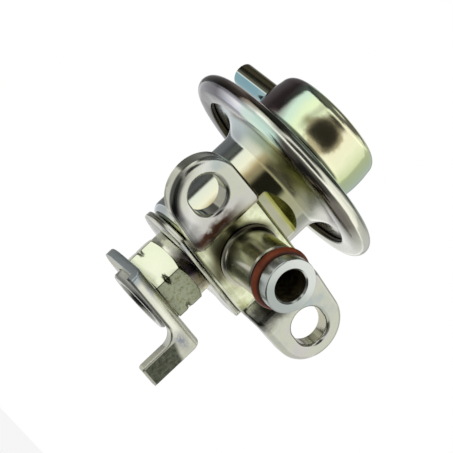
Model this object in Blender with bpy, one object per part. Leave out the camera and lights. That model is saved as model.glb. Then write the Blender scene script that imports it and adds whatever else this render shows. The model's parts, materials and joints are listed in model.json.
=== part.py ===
"""Fuel pressure regulator with a crimped diaphragm chamber and a two-ear rail flange.

Frame: the origin is on the inlet pipe's axis, in the plane of the two ears' faces.
+X runs from one ear to the other, -Y points out of the pipe towards the fuel rail and
+Z points along the regulator's main axis towards the spring cover. Lengths are metres.
"""

import math

import bmesh
import bpy
from mathutils import Vector

# Fits
SEAT_GAP = 0.0003          # between two pieces that sit on each other
BORE_GAP = 0.0003          # round a piece that passes through a hole
CUT_OVER = 0.002           # how far a cutter runs past the face that it opens

# Where the two axes lie
RECESS = 0.00465           # bracket's middle behind the ears' faces
FLAT_MARGIN = 0.00295      # flat's upper end above the bracket's upper edge

# Crimped rim
CRIMP_CLEARANCE = 0.0016   # between the body's flange and the inside of the roll
CLAMP_SLACK = 0.0008       # free height in the roll, shared by its three gaps
BEAD_DROP = 0.0003         # the roll's centre below the rim's middle
LIP_WIDTH = 0.0056         # lip's inner edge from the outside of the rim

# Spring cover
COVER_WALL = 0.0011
CUP_RADIUS = 0.0148
CUP_TOP = 0.0159           # top face above the rim's middle
CUP_CORNER = 0.0030
CUP_FILLET = 0.0020

# Vacuum nipple
NIPPLE_RADIUS = 0.00286
NIPPLE_WALL = 0.0009
NIPPLE_DROP = 0.0048       # its axis below the cap's top
NIPPLE_REACH = 0.0298      # its free end from the main axis
NIPPLE_INSIDE = 0.0008     # how far it stands inside the cover's wall
NIPPLE_YAW = math.radians(13.0)

# Lower body
BODY_RADIUS = 0.01365
BODY_WALL = 0.0013
FLARE_RADIUS = 0.0050
FLANGE_FLAT = 0.00595      # straight part of the flange outside the flare
BODY_BELOW = 0.00805       # underside below the pipe's axis
BODY_CORNER = 0.0026
FLAT_DEPTH = 0.0020        # how far the flat is pressed in
FLAT_TOP = 0.0094          # upper end of the flat below the rim's middle
FLAT_BEND = 0.0015         # outside radius between the flat and its slanted shoulder

# Diaphragm and what it carries
DIAPHRAGM_THICK = 0.0008
CLAMP_INSIDE = 0.00085     # stretch held in the crimp starts this far inside the flare's end
DIAPHRAGM_DROP = 0.0020    # underside of its middle below the rim's middle
ROLL_MARGIN = 0.0004       # the roll starts outside the spring plate
ROLL_HEIGHT = 0.0010
SPRING_SIDE_GAP = 0.0012   # between the main spring and its plate's rim
SPRING_PLATE_THICK = 0.0010
SPRING_PLATE_RIM = 0.0015
SPRING_PLATE_WALL = 0.0008
VALVE_PLATE_RADIUS = 0.0096
VALVE_PLATE_THICK = 0.0010
WASHER_RADIUS = 0.0045
WASHER_THICK = 0.0006
STEM_RADIUS = 0.0026
HEAD_RADIUS = 0.0034
HEAD_THICK = 0.0008
HOLDER_RADIUS = 0.0047
HOLDER_ROOF = 0.0010
BALL_RADIUS = 0.0028
BALL_FLAT = 0.0016         # ground flat from the ball's centre
BALL_CAGE_GAP = 0.0003
RETAINER_THICK = 0.00045
RETAINER_RIM = 0.0035
BALL_SPRING_RADIUS = 0.0015
BALL_SPRING_WIRE = 0.0004
BALL_SPRING_LENGTH = 0.00158
BALL_SPRING_TURNS = 2.0

# Main spring and its upper seat
SPRING_RADIUS = 0.0075     # to the wire's middle
SPRING_WIRE = 0.0018
SPRING_PITCH = 0.0027      # of its open turns
SPRING_CLOSED = 0.75       # close-wound turns at each end
SPRING_SEAT_RADIUS = 0.0100
SPRING_SEAT_THICK = 0.0010
SPRING_SEAT_BOSS = 0.0014

# Inlet pipe, in distances from the ears' faces; the recess is positive
PIPE_RADIUS = 0.00663
PIPE_END = 0.0135          # end face in front of the ears' faces
PIPE_BORE = 0.00385
PIPE_BORE_CHAMFER = 0.0004
COLLAR_RADIUS = 0.0064
COLLAR_LENGTH = 0.0031
COLLAR_CHAMFER = 0.00035
SPIGOT_RADIUS = 0.0050
SPIGOT_INSIDE = 0.0006     # how far the spigot stands inside the body's flat
PIPE_FOOT = 0.0009         # brazed foot where the barrel meets the bracket
RING_WIRE = 0.00265        # section of the O-ring
GROOVE_WALL = 0.000655     # between the ring's groove and the bore
GROOVE_WIDTH = 0.0037

# Mounting bracket
EAR_SPACING = 0.0460
EAR_RADIUS = 0.00865
BRACKET_THICK = 0.0040
BRACKET_HALF_HEIGHT = 0.00925
BRACKET_STRAIGHT = 0.0110  # half length of the stretch at full height
JOGGLE_START = 0.0103      # crease between the middle and the slanted wall
JOGGLE_ANGLE = math.radians(62.0)
JOGGLE_INNER_RADIUS = 0.0008
JOGGLE_OUTER_RADIUS = 0.0022
BRACKET_EDGE = 0.0014      # rounded front edge
SLOT_HEIGHT = 0.0084
SLOT_TRAVEL = 0.0015       # slot's length over its height
SLOT_EDGE = 0.0010

# Shelf plate
SHELF_RADIUS = 0.01335
SHELF_THICK = 0.00165
SHELF_FRONT = 0.0086       # straight front edge from the main axis
SHELF_TAB_END = 0.0168
SHELF_TAB_WIDTH = 0.0080
SHELF_TAB_CORNER = 0.0022
SHELF_EDGE = 0.0003

# Union fitting
HEX_ACROSS_FLATS = 0.0170
HEX_TURN = math.radians(-2.6)
HEX_HEIGHT = 0.0074
HEX_CHAMFER = math.radians(30.0)
NECK_STEP = 0.00013        # neck inside the hexagon's flats
NECK_HEIGHT = 0.0023
GROOVE_OUTSIDE = 0.0005    # bottom of the V groove outside the hexagon's flats
GROOVE_DROP = 0.0044       # V groove below the hexagon's upper face
BOSS_STEP = 0.00032        # boss inside the hexagon's flats
BOSS_EDGE = 0.0004
BOSS_BELOW = 0.0021        # boss below the stopper bracket's plate
PORT_RADIUS = 0.00525
PORT_DEPTH = 0.0112
PORT_CHAMFER = 0.0007
RETURN_RADIUS = 0.0020
TAIL_RADIUS = 0.0055
STAKE_OVERHANG = 0.0011
STAKE_HEIGHT = 0.0009
SEAT_TUBE_RADIUS = 0.0034
SEAT_TUBE_BORE = 0.0017
SEAT_LAND = 0.0023
TUBE_SOCKET = 0.0024       # how deep the seat tube sits in the fitting

# Stopper bracket
STOPPER_THICK = 0.0021
STOPPER_HALF_WIDTH = 0.0130
STOPPER_WEB = 0.00205      # from the boss's hole to the outer face of the bent flange
STOPPER_BEND_INSIDE = 0.0003
STOPPER_FLANGE = 0.0037    # flange's lower edge below the plate's upper face
TAB_LENGTH = 0.0144        # tab's lower edge below the plate's upper face
TAB_WIDTH = 0.0061
TAB_FILLET = 0.0034
TAB_CORNER = 0.0008
STOPPER_EDGE = 0.0005

# Facets
COARSE = 20
MIDDLE = 24
FINE = 32

# Heights and distances that follow from the sizes above
FLAT_DISTANCE = BODY_RADIUS - FLAT_DEPTH
BRACKET_BACK = FLAT_DISTANCE + SEAT_GAP
AXIS_Y = RECESS + BRACKET_THICK + BRACKET_BACK
RIM_Z = BRACKET_HALF_HEIGHT + FLAT_MARGIN + FLAT_TOP
BEAD_RADIUS = COVER_WALL + 0.5 * (BODY_WALL + DIAPHRAGM_THICK + CLAMP_SLACK)
BODY_FLANGE_RADIUS = BODY_RADIUS + FLARE_RADIUS + FLANGE_FLAT
RIM_RADIUS = BODY_FLANGE_RADIUS + CRIMP_CLEARANCE + COVER_WALL
LIP_RADIUS = RIM_RADIUS - LIP_WIDTH
DIAPHRAGM_CLAMP = BODY_RADIUS + FLARE_RADIUS - CLAMP_INSIDE
SPRING_PLATE_RADIUS = SPRING_RADIUS + 0.5 * SPRING_WIRE + SPRING_SIDE_GAP + SPRING_PLATE_WALL
ROLL_START = SPRING_PLATE_RADIUS + ROLL_MARGIN
GROOVE_BASE = PIPE_BORE + GROOVE_WALL
RING_RADIUS = GROOVE_BASE + 0.5 * SEAT_GAP + 0.5 * RING_WIRE
NECK_RADIUS = 0.5 * HEX_ACROSS_FLATS - NECK_STEP
GROOVE_FLOOR = 0.5 * HEX_ACROSS_FLATS + GROOVE_OUTSIDE
BOSS_RADIUS = 0.5 * HEX_ACROSS_FLATS - BOSS_STEP
BOSS_HOLE = BOSS_RADIUS + BORE_GAP
STAKE_RADIUS = TAIL_RADIUS + STAKE_OVERHANG
STOPPER_FACE = BOSS_HOLE + STOPPER_WEB
STOPPER_BEND = STOPPER_THICK + STOPPER_BEND_INSIDE
BEAD_CENTRE_R = RIM_RADIUS - BEAD_RADIUS
BEAD_CENTRE_Z = RIM_Z - BEAD_DROP
COVER_FLANGE_TOP = BEAD_CENTRE_Z + BEAD_RADIUS
CLAMP_TOP = COVER_FLANGE_TOP - COVER_WALL
CLAMP_BOTTOM = BEAD_CENTRE_Z - BEAD_RADIUS + COVER_WALL
CLAMP_GAP = CLAMP_SLACK / 3.0
BODY_FLANGE_UNDER = CLAMP_BOTTOM + CLAMP_GAP
BODY_FLANGE_TOP = BODY_FLANGE_UNDER + BODY_WALL
DIAPHRAGM_RIM_UNDER = BODY_FLANGE_TOP + CLAMP_GAP
DIAPHRAGM_UNDER = RIM_Z - DIAPHRAGM_DROP
CUP_TOP_Z = RIM_Z + CUP_TOP
BODY_BOTTOM_Z = -BODY_BELOW
NIPPLE_Z = CUP_TOP_Z - NIPPLE_DROP
SHELF_TOP_Z = BODY_BOTTOM_Z - SEAT_GAP
SHELF_UNDER_Z = SHELF_TOP_Z - SHELF_THICK
NECK_TOP_Z = SHELF_UNDER_Z - SEAT_GAP
HEX_TOP_Z = NECK_TOP_Z - NECK_HEIGHT
HEX_UNDER_Z = HEX_TOP_Z - HEX_HEIGHT
STAKE_UNDER = BODY_BOTTOM_Z + BODY_WALL + SEAT_GAP
STAKE_TOP = STAKE_UNDER + STAKE_HEIGHT
SOCKET_FLOOR = STAKE_TOP - TUBE_SOCKET
TUBE_FOOT_Z = SOCKET_FLOOR + SEAT_GAP
STOPPER_TOP_Z = HEX_UNDER_Z - SEAT_GAP
STOPPER_UNDER_Z = STOPPER_TOP_Z - STOPPER_THICK
BOSS_UNDER_Z = STOPPER_UNDER_Z - BOSS_BELOW
SPRING_PLATE_UNDER = DIAPHRAGM_UNDER + DIAPHRAGM_THICK + SEAT_GAP
SPRING_PLATE_TOP = SPRING_PLATE_UNDER + SPRING_PLATE_THICK
VALVE_PLATE_TOP = DIAPHRAGM_UNDER - SEAT_GAP
VALVE_PLATE_UNDER = VALVE_PLATE_TOP - VALVE_PLATE_THICK
WASHER_UNDER = SPRING_PLATE_TOP + SEAT_GAP
HEAD_UNDER = WASHER_UNDER + WASHER_THICK + SEAT_GAP
HOLDER_TOP = VALVE_PLATE_UNDER - SEAT_GAP
CAGE_ROOF = HOLDER_TOP - HOLDER_ROOF
BALL_SPRING_TOP = CAGE_ROOF - 0.5 * SEAT_GAP
BALL_SPRING_UNDER = BALL_SPRING_TOP - BALL_SPRING_LENGTH
BALL_TOUCH = BALL_RADIUS + 0.5 * BALL_SPRING_WIRE + 0.5 * SEAT_GAP
BALL_Z = (BALL_SPRING_UNDER + 0.5 * BALL_SPRING_WIRE
          - math.sqrt(BALL_TOUCH ** 2 - BALL_SPRING_RADIUS ** 2))
RETAINER_TOP = BALL_Z - BALL_CAGE_GAP - 0.5 * BALL_FLAT
RETAINER_UNDER = RETAINER_TOP - RETAINER_THICK
HOLDER_UNDER = RETAINER_UNDER - 0.5 * SEAT_GAP
BALL_FLAT_Z = BALL_Z - BALL_FLAT
SEAT_Z = BALL_FLAT_Z - SEAT_GAP
SPRING_SEAT_TOP = CUP_TOP_Z - COVER_WALL - SEAT_GAP
SPRING_SEAT_UNDER = SPRING_SEAT_TOP - SPRING_SEAT_THICK
SPRING_UNDER = SPRING_PLATE_TOP + SEAT_GAP
SPRING_UPPER = SPRING_SEAT_UNDER - SEAT_GAP
STEM_HOLE = STEM_RADIUS + BORE_GAP
TAIL_HOLE = TAIL_RADIUS + BORE_GAP
SPIGOT_HOLE = SPIGOT_RADIUS + BORE_GAP
EAR_X = 0.5 * EAR_SPACING


def clear_scene():
    """Remove every object that the file opened with."""
    for item in list(bpy.data.objects):
        bpy.data.objects.remove(item, do_unlink=True)


def finish(name, colour, roughness, metallic):
    """Return a plain surface material."""
    result = bpy.data.materials.new(name)
    result.use_nodes = True
    shader = result.node_tree.nodes["Principled BSDF"]
    shader.inputs["Base Color"].default_value = (*colour, 1.0)
    shader.inputs["Roughness"].default_value = roughness
    shader.inputs["Metallic"].default_value = metallic
    return result


def arc(centre_a, centre_b, radius, start, end, steps):
    """Return points on an arc in a plane, from one angle in degrees to another."""
    points = []
    for step in range(steps + 1):
        angle = math.radians(start + (end - start) * step / steps)
        points.append((centre_a + radius * math.cos(angle), centre_b + radius * math.sin(angle)))
    return points


def face_out(shape):
    """Turn every face of a closed shape outwards."""
    bmesh.ops.recalc_face_normals(shape, faces=shape.faces)
    if shape.calc_volume(signed=True) < 0.0:
        bmesh.ops.reverse_faces(shape, faces=shape.faces)


def to_object(name, mesh_data, surface, crease=35.0):
    """Close a bmesh into a named, smooth-shaded object with its faces pointing out."""
    bmesh.ops.remove_doubles(mesh_data, verts=mesh_data.verts, dist=1e-7)
    face_out(mesh_data)
    mesh = bpy.data.meshes.new(name)
    mesh_data.to_mesh(mesh)
    mesh_data.free()
    mesh.shade_smooth()
    mesh.set_sharp_from_angle(angle=math.radians(crease))
    item = bpy.data.objects.new(name, mesh)
    bpy.context.collection.objects.link(item)
    if surface is not None:
        mesh.materials.append(surface)
    return item


def turned(name, outline, surface, segments=FINE):
    """Spin a closed outline of (radius, height) points about the local Z axis."""
    shape = bmesh.new()
    rows = [shape.verts.new((radius, 0.0, height)) for radius, height in outline]
    edges = []
    for before, after in zip(rows[-1:] + rows[:-1], rows):
        if before.co.x > 0.0 or after.co.x > 0.0:
            edges.append(shape.edges.new((before, after)))
    bmesh.ops.spin(shape, geom=rows + edges, axis=(0, 0, 1), cent=(0, 0, 0),
                   angle=math.tau, steps=segments, use_merge=True)
    bmesh.ops.remove_doubles(shape, verts=shape.verts, dist=1e-7)
    bmesh.ops.dissolve_degenerate(shape, edges=shape.edges, dist=1e-8)
    return to_object(name, shape, surface)


def prism(name, outline, low, high, surface):
    """Extrude a closed (x, y) outline from one height to another."""
    shape = bmesh.new()
    base = shape.faces.new([shape.verts.new((x, y, low)) for x, y in outline])
    grown = bmesh.ops.extrude_face_region(shape, geom=[base])
    lifted = [part for part in grown["geom"] if isinstance(part, bmesh.types.BMVert)]
    bmesh.ops.translate(shape, verts=lifted, vec=(0, 0, high - low))
    return to_object(name, shape, surface)


def hide_cutter(item):
    """Mark an object as a tool that only shapes others."""
    item.hide_render = True
    item.display_type = "WIRE"
    return item


def combine(target, tool, operation="DIFFERENCE"):
    """Add an exact Boolean to the target."""
    step = target.modifiers.new(tool.name, "BOOLEAN")
    step.operation = operation
    step.solver = "EXACT"
    step.object = tool


def on_main_axis(item):
    """Stand a turned piece on the regulator's main axis."""
    item.location = (0.0, AXIS_Y, 0.0)
    return item


def along_pipe(item):
    """Lay a turned piece on the inlet pipe's axis, its local +Z pointing to the rail."""
    item.rotation_euler = (math.radians(90.0), 0.0, 0.0)
    return item


def helix(name, radius, wire, turns, low, high, closed_turns, per_turn, surface):
    """Return a coil spring between two heights, its end turns wound close."""
    bottom = low + 0.5 * wire
    top = high - 0.5 * wire
    close_rise = 1.08 * wire * closed_turns
    open_turns = turns - 2.0 * closed_turns
    curve = bpy.data.curves.new(name, "CURVE")
    curve.dimensions = "3D"
    curve.bevel_depth = 0.5 * wire
    curve.bevel_resolution = 1
    curve.use_fill_caps = True
    line = curve.splines.new("POLY")
    count = int(round(turns * per_turn))
    line.points.add(count)
    for index in range(count + 1):
        turn = turns * index / count
        if turn < closed_turns:
            height = bottom + close_rise * turn / closed_turns
        elif turn > turns - closed_turns:
            height = top - close_rise * (turns - turn) / closed_turns
        else:
            share = (turn - closed_turns) / open_turns
            height = bottom + close_rise + share * (top - bottom - 2.0 * close_rise)
        angle = math.tau * turn
        line.points[index].co = (radius * math.cos(angle), radius * math.sin(angle), height, 1.0)
    item = bpy.data.objects.new(name, curve)
    curve.materials.append(surface)
    bpy.context.collection.objects.link(item)
    return on_main_axis(item)


def stations(shape, axis, places):
    """Cut edge loops across a blank at the given coordinates along one axis."""
    normal = Vector((0, 0, 0))
    normal[axis] = 1.0
    for place in places:
        spot = Vector((0, 0, 0))
        spot[axis] = place
        everything = shape.verts[:] + shape.edges[:] + shape.faces[:]
        bmesh.ops.bisect_plane(shape, geom=everything, dist=1e-8, plane_co=spot, plane_no=normal)


def blank(outline, thick):
    """Return a flat sheet: its outline in X and Z, its face at Y 0 and its back at Y thick."""
    shape = bmesh.new()
    face = shape.faces.new([shape.verts.new((x, 0.0, z)) for x, z in outline])
    grown = bmesh.ops.extrude_face_region(shape, geom=[face])
    moved = [part for part in grown["geom"] if isinstance(part, bmesh.types.BMVert)]
    bmesh.ops.translate(shape, verts=moved, vec=(0, thick, 0))
    return shape


def round_face_edges(shape, width, is_front):
    """Round the edges between the sheet's face and its cut sides."""
    face_out(shape)
    chosen = []
    for edge in shape.edges:
        if not all(is_front(vert) for vert in edge.verts):
            continue
        if len(edge.link_faces) == 2 and edge.calc_face_angle() > math.radians(60.0):
            chosen.append(edge)
    bmesh.ops.bevel(shape, geom=chosen, offset=width, segments=3, profile=0.5,
                    affect="EDGES", clamp_overlap=True)


def rolled_rim(centre_r, centre_z, radius, steps):
    """Return the half round of the rolled edge from its top to its underside."""
    return arc(centre_r, centre_z, radius, 90.0, -90.0, steps)


def build_spring_cover(surface):
    """Drawn cap with its flange rolled round the body's flange; one nipple hole."""
    wall = COVER_WALL
    corner = CUP_RADIUS - CUP_CORNER
    fillet_r = CUP_RADIUS + CUP_FILLET
    fillet_z = COVER_FLANGE_TOP + CUP_FILLET
    outside = [(0.0, CUP_TOP_Z)]
    outside += arc(corner, CUP_TOP_Z - CUP_CORNER, CUP_CORNER, 90.0, 0.0, 4)
    outside += arc(fillet_r, fillet_z, CUP_FILLET, 180.0, 270.0, 3)
    outside += rolled_rim(BEAD_CENTRE_R, BEAD_CENTRE_Z, BEAD_RADIUS, 7)
    lip_under = BEAD_CENTRE_Z - BEAD_RADIUS
    inside = [(LIP_RADIUS, lip_under), (LIP_RADIUS, lip_under + wall)]
    inside += list(reversed(rolled_rim(BEAD_CENTRE_R, BEAD_CENTRE_Z, BEAD_RADIUS - wall, 3)))
    inside += arc(fillet_r, fillet_z, CUP_FILLET + wall, 270.0, 180.0, 2)
    inside += arc(corner, CUP_TOP_Z - CUP_CORNER, CUP_CORNER - wall, 0.0, 90.0, 2)
    inside += [(0.0, CUP_TOP_Z - wall)]
    cover = on_main_axis(turned("spring_cover", outside + inside, surface))
    drill = nipple_piece("nipple_drill", NIPPLE_RADIUS + BORE_GAP, 0.5 * CUP_RADIUS,
                         NIPPLE_REACH, 0.0, None)
    combine(cover, hide_cutter(drill))
    return cover


def nipple_piece(name, radius, start, end, bore, surface):
    """Lay a tube or rod on the nipple's axis between two distances from the main axis."""
    if bore > 0.0:
        outline = [(bore, start), (bore, end), (radius, end), (radius, start)]
    else:
        outline = [(0.0, start), (0.0, end), (radius, end), (radius, start)]
    item = turned(name, outline, surface, COARSE)
    item.rotation_euler = (math.radians(90.0), 0.0, math.pi + NIPPLE_YAW)
    item.location = (0.0, AXIS_Y, NIPPLE_Z)
    return item


def build_vacuum_nipple(surface):
    """Plain tube through the cap's wall, pointing away from the rail."""
    start = CUP_RADIUS - COVER_WALL - NIPPLE_INSIDE
    return nipple_piece("vacuum_nipple", NIPPLE_RADIUS, start, NIPPLE_REACH,
                        NIPPLE_RADIUS - NIPPLE_WALL, surface)


def flat_cutter(name, inset):
    """Return the block that presses the body's flat, or its inner side one wall further in."""
    distance = FLAT_DISTANCE - inset
    bend = FLAT_BEND + inset
    low = BODY_BOTTOM_Z - CUT_OVER
    reach = BODY_RADIUS + 0.8 * FLARE_RADIUS
    centre_z = RIM_Z - FLAT_TOP - FLAT_BEND * math.tan(math.radians(22.5))
    curve = arc(distance + bend, centre_z, bend, 135.0, 180.0, 3)
    shoulder = curve[0][1] + reach - curve[0][0]
    outline = [(distance, low), (reach, low), (reach, shoulder)] + curve
    half = BODY_RADIUS + CUT_OVER
    shape = bmesh.new()
    face = shape.faces.new([shape.verts.new((-half, -y, z)) for y, z in outline])
    grown = bmesh.ops.extrude_face_region(shape, geom=[face])
    moved = [part for part in grown["geom"] if isinstance(part, bmesh.types.BMVert)]
    bmesh.ops.translate(shape, verts=moved, vec=(2.0 * half, 0, 0))
    return on_main_axis(hide_cutter(to_object(name, shape, None)))


def build_lower_body(surface):
    """Drawn fuel chamber with a bell-shaped flare and a pressed flat for the bracket."""
    wall = BODY_WALL
    flare_r = BODY_RADIUS + FLARE_RADIUS
    flare_z = BODY_FLANGE_UNDER - FLARE_RADIUS
    corner_r = BODY_RADIUS - BODY_CORNER
    corner_z = BODY_BOTTOM_Z + BODY_CORNER
    outside = [(BODY_FLANGE_RADIUS, BODY_FLANGE_TOP), (BODY_FLANGE_RADIUS, BODY_FLANGE_UNDER)]
    outside += arc(flare_r, flare_z, FLARE_RADIUS, 90.0, 180.0, 6)
    outside += arc(corner_r, corner_z, BODY_CORNER, 0.0, -90.0, 4)
    outside += [(0.0, BODY_BOTTOM_Z), (0.0, BODY_FLANGE_TOP)]
    body = on_main_axis(turned("lower_body", outside, surface))
    combine(body, flat_cutter("flat_press", 0.0))

    inside = [(0.0, BODY_FLANGE_TOP + CUT_OVER), (flare_r, BODY_FLANGE_TOP + CUT_OVER)]
    inside += arc(flare_r, flare_z, FLARE_RADIUS + wall, 90.0, 180.0, 4)
    inside += arc(corner_r, corner_z, BODY_CORNER - wall, 0.0, -90.0, 2)
    inside += [(0.0, BODY_BOTTOM_Z + wall)]
    hollow = on_main_axis(hide_cutter(turned("body_hollow", inside, None)))
    combine(hollow, flat_cutter("hollow_flat", wall))
    combine(body, hollow)

    low = BODY_BOTTOM_Z - CUT_OVER
    high = BODY_BOTTOM_Z + wall + CUT_OVER
    tail_drill = turned("tail_drill", [(0.0, low), (0.0, high), (TAIL_HOLE, high),
                                       (TAIL_HOLE, low)], None, COARSE)
    combine(body, on_main_axis(hide_cutter(tail_drill)))
    near = -AXIS_Y + 0.5 * BODY_RADIUS
    far = -AXIS_Y + BODY_RADIUS + CUT_OVER
    inlet_drill = turned("inlet_drill", [(0.0, near), (0.0, far), (SPIGOT_HOLE, far),
                                         (SPIGOT_HOLE, near)], None, COARSE)
    combine(body, along_pipe(hide_cutter(inlet_drill)))
    return body


def diaphragm_height(radius):
    """Return the underside of the diaphragm at a radius: flat, one soft roll, flat."""
    if radius <= ROLL_START:
        return DIAPHRAGM_UNDER
    if radius >= DIAPHRAGM_CLAMP:
        return DIAPHRAGM_RIM_UNDER
    share = (radius - ROLL_START) / (DIAPHRAGM_CLAMP - ROLL_START)
    smooth = share * share * (3.0 - 2.0 * share)
    ramp = DIAPHRAGM_UNDER + smooth * (DIAPHRAGM_RIM_UNDER - DIAPHRAGM_UNDER)
    return ramp + ROLL_HEIGHT * math.sin(math.pi * share) ** 2


def build_diaphragm(surface):
    """Round rubber sheet with one convolution between its plates and the crimp."""
    steps = 5
    radii = [STEM_HOLE]
    for step in range(steps + 1):
        radii.append(ROLL_START + (DIAPHRAGM_CLAMP - ROLL_START) * step / steps)
    radii.append(BODY_FLANGE_RADIUS - SEAT_GAP)
    under = [(radius, diaphragm_height(radius)) for radius in radii]
    upper = [(radius, height + DIAPHRAGM_THICK) for radius, height in reversed(under)]
    return on_main_axis(turned("diaphragm", under + upper, surface, MIDDLE))


def build_spring_plate(surface):
    """Plate with a raised rim that carries the main spring on the diaphragm."""
    edge = SPRING_PLATE_RADIUS
    inner = edge - SPRING_PLATE_WALL
    rim_top = SPRING_PLATE_TOP + SPRING_PLATE_RIM
    outline = [(STEM_HOLE, SPRING_PLATE_UNDER), (edge - 0.5 * SPRING_PLATE_WALL, SPRING_PLATE_UNDER),
               (edge, SPRING_PLATE_UNDER + 0.5 * SPRING_PLATE_WALL), (edge, rim_top),
               (inner, rim_top), (inner, SPRING_PLATE_TOP), (STEM_HOLE, SPRING_PLATE_TOP)]
    return on_main_axis(turned("spring_plate", outline, surface, MIDDLE))


def build_ring(name, inner, outer, low, high, surface, segments=COARSE):
    """Return a flat ring on the main axis."""
    outline = [(inner, low), (outer, low), (outer, high), (inner, high)]
    return on_main_axis(turned(name, outline, surface, segments))


def build_valve_holder(surface):
    """Stem with a riveted head above and a cup for the ball below."""
    cage = BALL_RADIUS + BALL_CAGE_GAP
    shelf = RETAINER_TOP + 0.5 * SEAT_GAP
    outline = [(0.0, HEAD_UNDER + HEAD_THICK), (0.7 * HEAD_RADIUS, HEAD_UNDER + HEAD_THICK),
               (HEAD_RADIUS, HEAD_UNDER + 0.5 * HEAD_THICK), (HEAD_RADIUS, HEAD_UNDER),
               (STEM_RADIUS, HEAD_UNDER), (STEM_RADIUS, HOLDER_TOP), (HOLDER_RADIUS, HOLDER_TOP),
               (HOLDER_RADIUS, HOLDER_UNDER), (RETAINER_RIM + 0.5 * SEAT_GAP, HOLDER_UNDER),
               (RETAINER_RIM + 0.5 * SEAT_GAP, shelf), (cage, shelf), (cage, CAGE_ROOF),
               (0.0, CAGE_ROOF)]
    return on_main_axis(turned("valve_holder", outline, surface, COARSE))


def build_valve_ball(surface):
    """Ball with a flat ground on its lower side."""
    flat_angle = -math.degrees(math.asin(BALL_FLAT / BALL_RADIUS))
    outline = arc(0.0, BALL_Z, BALL_RADIUS, 90.0, flat_angle, 7)
    outline[0] = (0.0, BALL_Z + BALL_RADIUS)
    outline.append((0.0, BALL_FLAT_Z))
    return on_main_axis(turned("valve_ball", outline, surface, COARSE))


def build_ball_retainer(surface):
    """Ring in the holder's mouth, a little narrower than the ball."""
    reach = math.sqrt(BALL_RADIUS ** 2 - (BALL_Z - RETAINER_TOP) ** 2)
    inner = 0.5 * (reach + BALL_RADIUS)
    return build_ring("ball_retainer", inner, RETAINER_RIM, RETAINER_UNDER, RETAINER_TOP, surface)


def build_ball_spring(surface):
    """Small coil between the holder's roof and the shoulder of the ball."""
    return helix("ball_spring", BALL_SPRING_RADIUS, BALL_SPRING_WIRE, BALL_SPRING_TURNS,
                 BALL_SPRING_UNDER, BALL_SPRING_TOP, 0.5, 12, surface)


def build_pressure_spring(surface):
    """Main coil spring: as many open turns as its pitch leaves room for."""
    open_rise = SPRING_UPPER - SPRING_UNDER - SPRING_WIRE * (1.0 + 2.16 * SPRING_CLOSED)
    turns = open_rise / SPRING_PITCH + 2.0 * SPRING_CLOSED
    return helix("pressure_spring", SPRING_RADIUS, SPRING_WIRE, turns, SPRING_UNDER,
                 SPRING_UPPER, SPRING_CLOSED, 14, surface)


def build_spring_seat(surface):
    """Disc under the cap's top with a boss that centres the spring."""
    boss = SPRING_RADIUS - 0.5 * SPRING_WIRE - SEAT_GAP
    boss_under = SPRING_SEAT_UNDER - SPRING_SEAT_BOSS
    outline = [(0.0, SPRING_SEAT_TOP), (SPRING_SEAT_RADIUS, SPRING_SEAT_TOP),
               (SPRING_SEAT_RADIUS, SPRING_SEAT_UNDER), (boss, SPRING_SEAT_UNDER),
               (boss - 0.3 * SPRING_SEAT_BOSS, boss_under), (0.0, boss_under)]
    return on_main_axis(turned("spring_seat", outline, surface, COARSE))


def build_seat_tube(surface):
    """Return tube; its upper end is the valve seat and its foot sits in the fitting."""
    outline = [(SEAT_TUBE_BORE, TUBE_FOOT_Z), (SEAT_TUBE_RADIUS, TUBE_FOOT_Z),
               (SEAT_TUBE_RADIUS, SEAT_Z - (SEAT_TUBE_RADIUS - SEAT_LAND)), (SEAT_LAND, SEAT_Z),
               (SEAT_TUBE_BORE, SEAT_Z)]
    return on_main_axis(turned("seat_tube", outline, surface, COARSE))


def build_inlet_pipe(surface):
    """Turned pipe: spigot through the bracket, barrel, O-ring groove, collar and bore."""
    face = PIPE_END
    groove_front = face - COLLAR_LENGTH
    groove_back = groove_front - GROOVE_WIDTH
    foot = -RECESS + SEAT_GAP
    spigot_end = -(AXIS_Y - FLAT_DISTANCE) - BODY_WALL - SPIGOT_INSIDE
    outline = [(PIPE_BORE, spigot_end), (SPIGOT_RADIUS, spigot_end), (SPIGOT_RADIUS, foot)]
    outline += list(reversed(arc(PIPE_RADIUS + PIPE_FOOT, foot + PIPE_FOOT, PIPE_FOOT,
                                 180.0, 270.0, 3)))
    outline += [(PIPE_RADIUS, groove_back - COLLAR_CHAMFER),
                (PIPE_RADIUS - COLLAR_CHAMFER, groove_back),
                (GROOVE_BASE, groove_back), (GROOVE_BASE, groove_front),
                (COLLAR_RADIUS, groove_front), (COLLAR_RADIUS, face - COLLAR_CHAMFER),
                (COLLAR_RADIUS - COLLAR_CHAMFER, face),
                (PIPE_BORE + PIPE_BORE_CHAMFER, face), (PIPE_BORE, face - PIPE_BORE_CHAMFER)]
    return along_pipe(turned("inlet_pipe", outline, surface))


def build_o_ring(surface):
    """Sealing ring that stands proud of the barrel."""
    middle = PIPE_END - COLLAR_LENGTH - 0.5 * RING_WIRE - 0.5 * SEAT_GAP
    outline = arc(RING_RADIUS, middle, 0.5 * RING_WIRE, 0.0, 360.0, 8)[:-1]
    return along_pipe(turned("o_ring", outline, surface, MIDDLE))


def bend_profile(first, inner, outer):
    """Return (x, depth) points of one joggle from the recessed middle out to the ear."""
    run = RECESS / math.tan(JOGGLE_ANGLE)
    half = math.tan(0.5 * JOGGLE_ANGLE)
    turn = math.degrees(JOGGLE_ANGLE)
    start = first - inner * half
    end = first + run + outer * half
    low = arc(start, RECESS - inner, inner, 90.0, 90.0 - turn, 2)
    high = arc(end, outer, outer, 270.0 - turn, 270.0, 4)
    return low + high


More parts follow.
